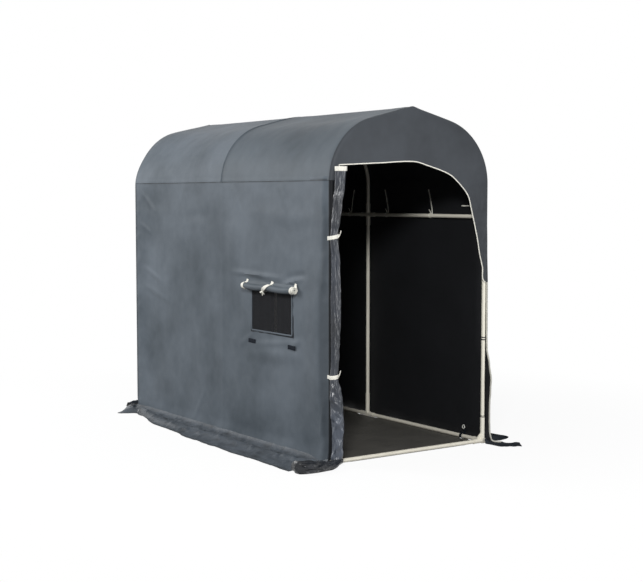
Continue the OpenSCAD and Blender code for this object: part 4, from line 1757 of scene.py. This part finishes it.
    def patches(self) -> None:
        """Builds the two hook patches that hold the flap's lower edge when it is down."""
        parts = []
        for y in WINDOW_OPENING[:2]:
            path = [
                Vector((self.wall_x - 0.0014, y + d, self.patch_z + 0.0008 * sin(d * 90)))
                for d in ladder([-0.03, 0.03], 0.005)
            ]
            parts.append(sweep(path, [UP] * len(path), *self.patch_half))
        make_piece("window_hook_patches", gather(parts), [self.finishes.dark], Slot.DARK, ["window_patches"])


@dataclass
class Skirts:
    """Skirts sewn to the foot of the walls, which lie out on the ground."""

    finishes: Finishes
    drape: Drape = Drape()
    lie: float = 0.0022
    fillet: float = 0.024
    bulge: float = 0.025
    swell: float = 0.004
    rough: float = 0.015
    drift: float = 0.008
    crest_share: float = 0.58
    flat_w: float = 0.18
    crests: Rows = ((-0.93, 0.055), (-0.82, 0.072), (-0.65, 0.088), (-0.3, 0.096), (0.3, 0.1), (0.45, 0.115))
    left_widths: Rows = (
        (-0.932, 0.214), (-0.55, 0.212), (-0.158, 0.205), (0.402, 0.166), (0.705, 0.104), (0.77, 0.094),
        (0.835, 0.176), (0.9, 0.112), (0.93, 0.05),
    )
    right_widths: Rows = (
        (-0.932, 0.1), (-0.915, 0.16), (-0.89, 0.185), (-0.6, 0.176), (0.1, 0.184), (0.7, 0.15), (0.83, 0.175),
        (0.93, 0.07),
    )
    rear_widths: Rows = (
        (-0.5, 0.075), (-0.46, 0.09), (-0.4, 0.165), (0.0, 0.178), (0.38, 0.168), (0.46, 0.1), (0.48, 0.06)
    )
    rear_flat: Pair = (0.98, 0.18)
    tab_origin: Triple = (0.447, -0.941, 0.0)
    tab_turn: float = radians(-35)
    tab_flat: Pair = (0.168, 0.097)

    def build(self) -> None:
        """Builds the three skirts and the loose tab at the right front corner."""
        # The right and rear skirts take the darker copy of the skirt cloth, painted shade.
        near, far = self.finishes.skirt, self.finishes.far_skirt
        self.long_skirt(-1, "left_skirt_cloth", "left_skirt", 0.008, 1.3, near, self.left_widths)
        self.long_skirt(1, "right_skirt_cloth", "right_skirt", 0.011, 6.1, far, self.right_widths)
        self.rear_skirt()
        self.tab()

    def foot(self, out: float, width: float, crest: float, run: float, seed: float, loose: float = 1.0) -> float:
        """Gives the height of a skirt above the ground.

        Args:
            out: the distance out from the wall.
            width: the skirt's width there.
            crest: the distance at which it bulges most.
            run: the place along the wall.
            seed: a number that tells the skirts apart.
            loose: the share of its bulge and crumples that it keeps there.

        Returns:
            The height of its upper face.
        """
        share = out / width
        turn = self.fillet * math.exp(-out / 0.018)
        uneven = 0.85 + 0.5 * noise(Vector((run * 5, seed, 9.3)))
        bulge = self.bulge * bell(out - crest, 0.016 if out < crest else 0.045) * uneven
        spot = Vector((run * 7.0 + out * 5, out * 11.0 - run * 1.5, seed))
        rough = crumple(spot) + 0.6 * crumple(spot * 2.2 + Vector((0, 0, 4)))
        rough += 0.25 * crumple(spot * 4.1 + Vector((0, 3, 0)))
        wave = 0.5 + noise(Vector((run * 4.5, out * 8, seed + 2)))
        swell = self.swell * wave * sin(pi * min(1.0, share))
        crushed = self.rough * rough * sin(pi * min(1.0, 0.12 + 0.8 * share))
        lift = bulge * (1 - ramp(share, 0.75, 1.0)) + max(0.0, swell + crushed)
        return self.lie + turn + loose * lift

    def crest(self, y: float, width: float) -> float:
        """Gives the distance from the wall at which a long skirt bulges most."""
        return min(self.crest_share * width, table(self.crests, y))

    def long_skirt(
        self, side: int, name: str, node: str, step: float, seed: float, finish: Material, widths: Rows
    ) -> None:
        """Builds the skirt of a long wall.

        Args:
            side: -1 for the left, 1 for the right.
            name: the piece's name.
            node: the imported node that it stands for.
            step: the grid's step.
            seed: a number that tells the skirts apart.
            finish: the material of its upper face.
            widths: the skirt's width by place along the wall.
        """
        line = self.drape.line
        start, end = widths[0][0], widths[-1][0]
        hem_run = 0.012 if side < 0 else 2 * line.crown - 0.012

        def place(y: float, share: float) -> Vector:
            """Finds the skirt's upper face at a place along the wall and a share of its width."""
            width = table(widths, y) * (1 + 0.035 * noise(Vector((y * 11, seed, 0))))
            flare = self.drape.slack(hem_run, y)
            out = share * width
            inner = line.half_w + line.skin - 0.0007 + flare
            drift = self.drift * share * noise(Vector((y * 8, share * 2, seed + 5)))
            # The right skirt's front end lies flat.
            loose = ramp(y, start, start + 0.07) if side > 0 else 1.0
            height = self.foot(out, width, self.crest(y, width), y, seed, loose)
            return Vector((side * (inner + out), y + drift, height))

        def dirt_and_shade(y: float, share: float) -> float:
            """Gives the share of painted shade in the crumples' hollows, and of painted shadow under the lifted hem
            and behind the bulge.
            """
            width = table(widths, y)
            behind = share * width - self.crest(y, width) + 0.036
            hollow = 0.95 * max(0.0, -crumple(Vector((y * 11, share * 5, seed))) - 0.03)
            return max(0.9 * bell(share - 1, 0.05), hollow, 0.55 * bell(behind, 0.016) * (1 - ramp(y, 0.0, 0.6)))

        cloth = lay_cloth(
            ladder([start, end], step), ladder([0.0, 1.0], step / 0.19), place, UP, dirt_and_shade,
            lambda y, share: (y, share * self.flat_w),
        )
        make_sheet(
            name, cloth, [finish, self.finishes.back], Slot.SKIRT, node, (end - start, max(w for _, w in widths)),
            Hold.LAID,
        )

    def rear_skirt(self) -> None:
        """Builds the skirt of the rear wall."""
        line = self.drape.line

        def place(x: float, share: float) -> Vector:
            """Finds the skirt's upper face at a place across the shelter and a share of its width."""
            width = table(self.rear_widths, x) * (1 + 0.03 * noise(Vector((x * 11, 8.8, 0))))
            out = share * width
            side = self.drift * share * noise(Vector((x * 8, share * 2, 3.9)))
            inner = line.half_d + line.skin + 0.0088
            return Vector((x + side, inner + out * 0.97, self.foot(out, width, 0.5 * width, x, 8.2)))

        # Painted shadow: the skirt's outer edge is darkened for the shade under its lifted hem.
        cloth = lay_cloth(
            ladder([self.rear_widths[0][0], self.rear_widths[-1][0]], 0.011), ladder([0.0, 1.0], 0.06), place,
            UP, lambda x, share: 0.5 * bell(share - 1, 0.05), lambda x, share: (x, share * self.flat_w),
        )
        make_sheet(
            "rear_skirt_cloth", cloth, [self.finishes.far_skirt, self.finishes.back], Slot.SKIRT, "rear_skirt",
            self.rear_flat, Hold.LAID,
        )

    def tab(self) -> None:
        """Builds the loose end of the front skirt, which lies out from the right front foot."""
        origin = Vector(self.tab_origin)
        way = Vector((cos(self.tab_turn), sin(self.tab_turn), 0))
        side = Vector((way.y, -way.x, 0))

        def place(run: float, out: float) -> Vector:
            """Finds the tab's upper face at a run from the foot and a share of its width."""
            bend = 0.003 * sin(run * 20)
            wide = out * (0.026 + 0.068 * ramp(run, 0.0, 0.075) - 0.12 * max(0.0, run - 0.09))
            wide -= (1 - out) * 0.6 * run * (1 - ramp(run, 0.05, 0.11))
            crushed = max(0.0, crumple(Vector((run * 16, out * 2.2, 7.7))) + 0.3 * (1 - out))
            lift = self.lie + 0.022 * math.exp(-run / 0.02) * (1 - out) + 0.007 * crushed
            return origin + way * (run + bend * out * 0.4) + side * wide + Vector((0, 0, lift))

        cloth = lay_cloth(
            ladder([0.0, self.tab_flat[0]], 0.008), ladder([0.0, 1.0], 0.1), place, UP,
            flat=lambda run, out: (run, out * 0.095),
        )
        make_sheet(
            "front_skirt_tab_cloth", cloth, [self.finishes.far_skirt, self.finishes.back], Slot.SKIRT,
            "front_skirt_tab", self.tab_flat, Hold.LAID,
        )


@dataclass
class Groundsheet:
    """Floor sheet that lies inside the base tubes."""

    finishes: Finishes
    half_w: float = 0.4325
    half_d: float = 0.9125
    tuck: float = 0.0125
    tie_y: float = 0.779
    step: float = 0.014
    lie: float = 0.0019

    def build(self) -> None:
        """Builds the sheet with its slight cockles."""

        def place(x: float, y: float) -> Vector:
            """Finds the sheet's upper face at a flat place."""
            spot = Vector((x * 6, y * 6, 1.4))
            edge = min(self.half_w - abs(x), self.half_d - abs(y))
            lift = 0.004 * max(0.0, noise(spot)) + 0.0025 * max(0.0, crumple(spot * 1.7))
            # The edge goes under the tubes, but not under the feet and the ties.
            clear = ramp(abs(y), 0.07, 0.09) * (1 - ramp(abs(y), 0.82, 0.84))
            clear = max(clear, 0.42) * ramp(abs(abs(y) - self.tie_y), 0.01, 0.013)
            wide = self.tuck * clear * ramp(abs(x), self.half_w - 0.03, self.half_w)
            long = self.tuck * (1 - ramp(abs(x), 0.34, 0.36)) * ramp(abs(y), self.half_d - 0.03, self.half_d)
            height = self.lie + lift * ramp(edge, 0.0, 0.05)
            return Vector((x + math.copysign(wide, x), y + math.copysign(long, y), height))

        ties = [-0.792, -0.789, -0.769, -0.766, 0.766, 0.769, 0.789, 0.792]
        xs = ladder([-self.half_w, self.half_w], self.step)
        ys = ladder([-self.half_d, *ties, self.half_d], self.step)
        cloth = lay_cloth(xs, ys, place, UP)
        make_sheet(
            "groundsheet_weave", cloth, [self.finishes.floor], Slot.FLOOR, "groundsheet",
            (2 * self.half_w, 2 * self.half_d), Hold.LAID,
        )


@dataclass
class FrameDress:
    """Powder coat on the tubes, and the ties, buttons and bands on them."""

    finishes: Finishes
    cover: Cover
    base_h: float = 0.0116
    wind: float = 0.0108
    tape_t: float = 0.0008
    rail_ties: Numbers = (-0.525, -0.165, 0.165, 0.525)
    rail_seam: float = 1.222
    rail_lean: float = 0.028
    flat_tie_run: float = 1.141
    flat_tie_y: Pair = (-0.815, -0.755)
    base_ties: Numbers = (-0.779, 0.779)
    base_seam: float = 0.067
    button_h: float = 0.0557
    button_profile: Rows = (
        (0.0, 0.001), (0.005, 0.001), (0.0056, 0.0016), (0.0064, 0.0032), (0.0078, 0.0038), (0.0096, 0.0034),
        (0.0108, 0.002), (0.011, 0.0008), (0.0104, 0.0), (0.0, 0.0),
    )
    button_dish: float = 0.0054
    band_r: float = 0.0104
    band_t: float = 0.0007
    post_rings: Rows = ((0.5025, 0.0024), (0.5135, 0.0024), (0.1275, 0.0014), (0.133, 0.0014))

    def build(self) -> None:
        """Dresses the tubes and builds what is tied to them."""
        self.coat()
        self.side_ties()
        self.foot_ties()
        self.buttons()
        self.bands()

    def coat(self) -> None:
        """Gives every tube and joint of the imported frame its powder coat."""
        for name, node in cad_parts.items():
            for slot in node.material_slots:
                if slot.material and slot.material.name.split(".")[0] == Slot.STEEL.value:
                    slot.material = self.finishes.steel
                    LOG.info("%s: powder coat", name)

    def loop(self, side: int, y: float, height: float, top: float, lean: float, width: float, tail: float) -> Mesh:
        """Builds one tie, from its seam on the wall down and round a rail.

        Args:
            side: -1 for the left rail, 1 for the right.
            y: the place along the rail.
            height: the height of the rail's middle.
            top: the height of the seam.
            lean: how far the seam lies along the rail from there.
            width: the tape's width.
            tail: the length of the loose end.

        Returns:
            The closed tape.
        """
        x = side * self.cover.drape.line.half_w
        path = []
        for k in range(9):
            t = 1 - k / 9
            run = height + 0.012 + (top - height - 0.012) * t
            path.append(self.cover.wall_point(side, y + lean * t ** 1.5, run, 0.0026))
        for k in range(24):
            angle = 0.5 - (2 * pi * 0.98) * k / 23
            out, up = self.wind * cos(angle), self.wind * sin(angle)
            path.append(Vector((x + side * out, y + 0.006 * k / 23, height + up)))
        end = path[-1]
        path += [end + Vector((-side * 0.005 * t, 0.012 * t, tail * t)) for t in (0.3, 0.65, 1.0)]
        return sweep(path, [Vector((0, 1, 0))] * len(path), width / 2, self.tape_t)

    def side_ties(self) -> None:
        """Builds the cream ties of the side rails."""
        rail_h = self.cover.drape.rail_h
        parts = [
            self.loop(side, y, rail_h, self.rail_seam, math.copysign(self.rail_lean, -y), 0.008, 0.026)
            for side in (-1, 1)
            for y in self.rail_ties
        ]
        for side in (-1, 1):
            path = [self.cover.wall_point(side, y, self.flat_tie_run, 0.004) for y in ladder(self.flat_tie_y, 0.01)]
            parts.append(sweep(path, [UP] * len(path), 0.003, self.tape_t))
        make_piece("side_rail_tie_tapes", gather(parts), [self.finishes.tape], Slot.TAPE, ["side_rail_ties"])

    def foot_ties(self) -> None:
        """Builds the black ties of the base rails."""
        parts = [
            self.loop(side, y, self.base_h, self.base_seam, 0.0, 0.017, 0.014)
            for side in (-1, 1)
            for y in self.base_ties
        ]
        make_piece("base_tie_tapes", gather(parts), [self.finishes.dark], Slot.DARK, ["base_ties"])

    def button(self, side: int, y: float) -> Mesh:
        """Builds one dished button by turning its profile.

        Args:
            side: -1 for the left wall, 1 for the right.
            y: the place along the wall.

        Returns:
            The closed button, at its place.
        """
        button = bmesh.new()
        verts = [button.verts.new(Vector((-side * h, 0, r))) for r, h in self.button_profile]
        edges = [button.edges.new(pair) for pair in zip(verts, verts[1:])]
        bmesh.ops.spin(
            button, geom=verts + edges, cent=(0, 0, 0), axis=(1, 0, 0), angle=2 * pi, steps=28, use_merge=True
        )
        bmesh.ops.remove_doubles(button, verts=button.verts[:], dist=1e-5)
        bmesh.ops.recalc_face_normals(button, faces=button.faces[:])
        for face in button.faces:
            mid = face.calc_center_median()
            face.material_index = int(math.hypot(mid.y, mid.z) < self.button_dish and abs(mid.x) > 0.0005)
        seat = self.cover.wall_point(side, y, self.button_h, 0.004)
        bmesh.ops.translate(button, vec=seat, verts=button.verts[:])
        return button

    def buttons(self) -> None:
        """Builds the buttons of the base ties."""
        parts = [self.button(side, y) for side in (-1, 1) for y in self.base_ties]
        finishes = [self.finishes.button, self.finishes.dark]
        make_piece("base_tie_dished_buttons", gather(parts), finishes, Slot.BUTTON, ["base_tie_buttons"])

    def bands(self) -> None:
        """Builds the black tape wound twice round each front post, and the thin ring above each foot's sleeve."""
        line, r = self.cover.drape.line, self.band_r
        turns = [2 * pi * k / 32 for k in range(33)]
        parts = []
        for side in (-1, 1):
            for height, half_w in self.post_rings:
                post = Vector((side * line.half_w, -line.half_d, height))
                ring = [post + Vector((r * cos(a), r * sin(a), 0.001 * sin(a))) for a in turns]
                parts.append(sweep(ring, [UP] * len(ring), half_w, self.band_t, closed=True))
        make_piece("post_band_tapes", gather(parts), [self.finishes.dark], Slot.DARK, ["post_bands"])


@dataclass(frozen=True)
class Lamp:
    """One soft lamp with a square face."""

    name: str
    spot: Triple
    goal: Triple
    size: float
    power: float

    def hang(self) -> None:
        """Hangs the lamp and turns it to what it lights."""
        data = bpy.data.lights.new(self.name, "AREA")
        data.spread = pi
        data.size = self.size
        data.energy = self.power
        lamp = bpy.data.objects.new(self.name, data)
        lamp.location = self.spot
        lamp.rotation_euler = (Vector(self.goal) - Vector(self.spot)).to_track_quat("-Z", "Y").to_euler()
        bpy.context.scene.collection.objects.link(lamp)


@dataclass
class Studio:
    """Camera, pale floor and soft light."""

    eye: Triple = (-3.6444, -5.4786, 1.1893)
    yaw: float = radians(34.64)
    pitch: float = radians(4.28)
    focal_px: float = 1271.7
    image_w: float = 643.0
    sensor: float = 36.0
    floor_half: float = 60.0
    room_light: float = 0.3
    lamps: tuple[Lamp, ...] = (
        Lamp("key_softbox", (-3.2, 2.6, 2.4), (-0.4, 0.2, 1.0), 1.8, 128.0),
        Lamp("front_softbox", (-3.2, -4.4, 3.0), (0.2, -0.9, 0.8), 0.7, 200.0),
        Lamp("fill_softbox", (1.2, -4.5, 0.8), (0.1, -0.9, 0.2), 1.4, 48.0),
    )

    def place_camera(self) -> None:
        """Puts the camera where the photograph was taken from."""
        data = bpy.data.cameras.new("photo_camera")
        data.sensor_width = self.sensor
        data.lens = self.focal_px / self.image_w * self.sensor
        camera = bpy.data.objects.new("photo_camera", data)
        camera.location = self.eye
        camera.rotation_euler = (pi / 2 - self.pitch, 0.0, -self.yaw)
        bpy.context.scene.collection.objects.link(camera)
        bpy.context.scene.camera = camera

    def light(self) -> None:
        """Lays the floor and hangs the lamps."""
        bpy.context.scene.view_settings.view_transform = "Standard"
        self.floor()
        self.world()
        for lamp in self.lamps:
            lamp.hang()

    def floor(self) -> None:
        """Lays the pale floor."""
        mesh = bmesh.new()
        bmesh.ops.create_grid(mesh, x_segments=1, y_segments=1, size=self.floor_half)
        data = bpy.data.meshes.new("studio_floor")
        mesh.to_mesh(data)
        mesh.free()
        data.materials.append(StudioFloor("seamless_paper", "#ffffff", "#565656").make())
        floor = bpy.data.objects.new("studio_floor", data)
        bpy.context.scene.collection.objects.link(floor)

    def world(self) -> None:
        """Fills the room with even light, and shows white behind the shelter."""
        world = bpy.data.worlds.new("studio_room")
        bpy.context.scene.world = world
        world.use_nodes = True
        tree = world.node_tree
        tree.nodes.clear()
        room = add_node(tree, "Background", {"Color": linear("#f2f4f8"), "Strength": self.room_light})
        white = add_node(tree, "Background", {"Color": linear("#ffffff"), "Strength": 1.0})
        mix = add_node(
            tree, "MixShader", {},
            {0: seen_by_eye(tree), 1: room.outputs["Background"], 2: white.outputs["Background"]},
        )
        out = add_node(tree, "OutputWorld")
        tree.links.new(mix.outputs["Shader"], out.inputs["Surface"])


def main() -> None:
    """Places the camera, builds the shelter's pieces in order and lights the studio."""
    logging.basicConfig(level=logging.INFO, format="%(name)s %(message)s")
    studio = Studio()
    studio.place_camera()
    finishes = Finishes()
    cover = Cover(finishes)
    cover.build()
    FrameDress(finishes, cover).build()
    Doorway(finishes, cover).build()
    RolledDoor(finishes).build()
    Window(finishes).build()
    Skirts(finishes).build()
    Groundsheet(finishes).build()
    studio.light()


if __name__ == "__main__":
    main()
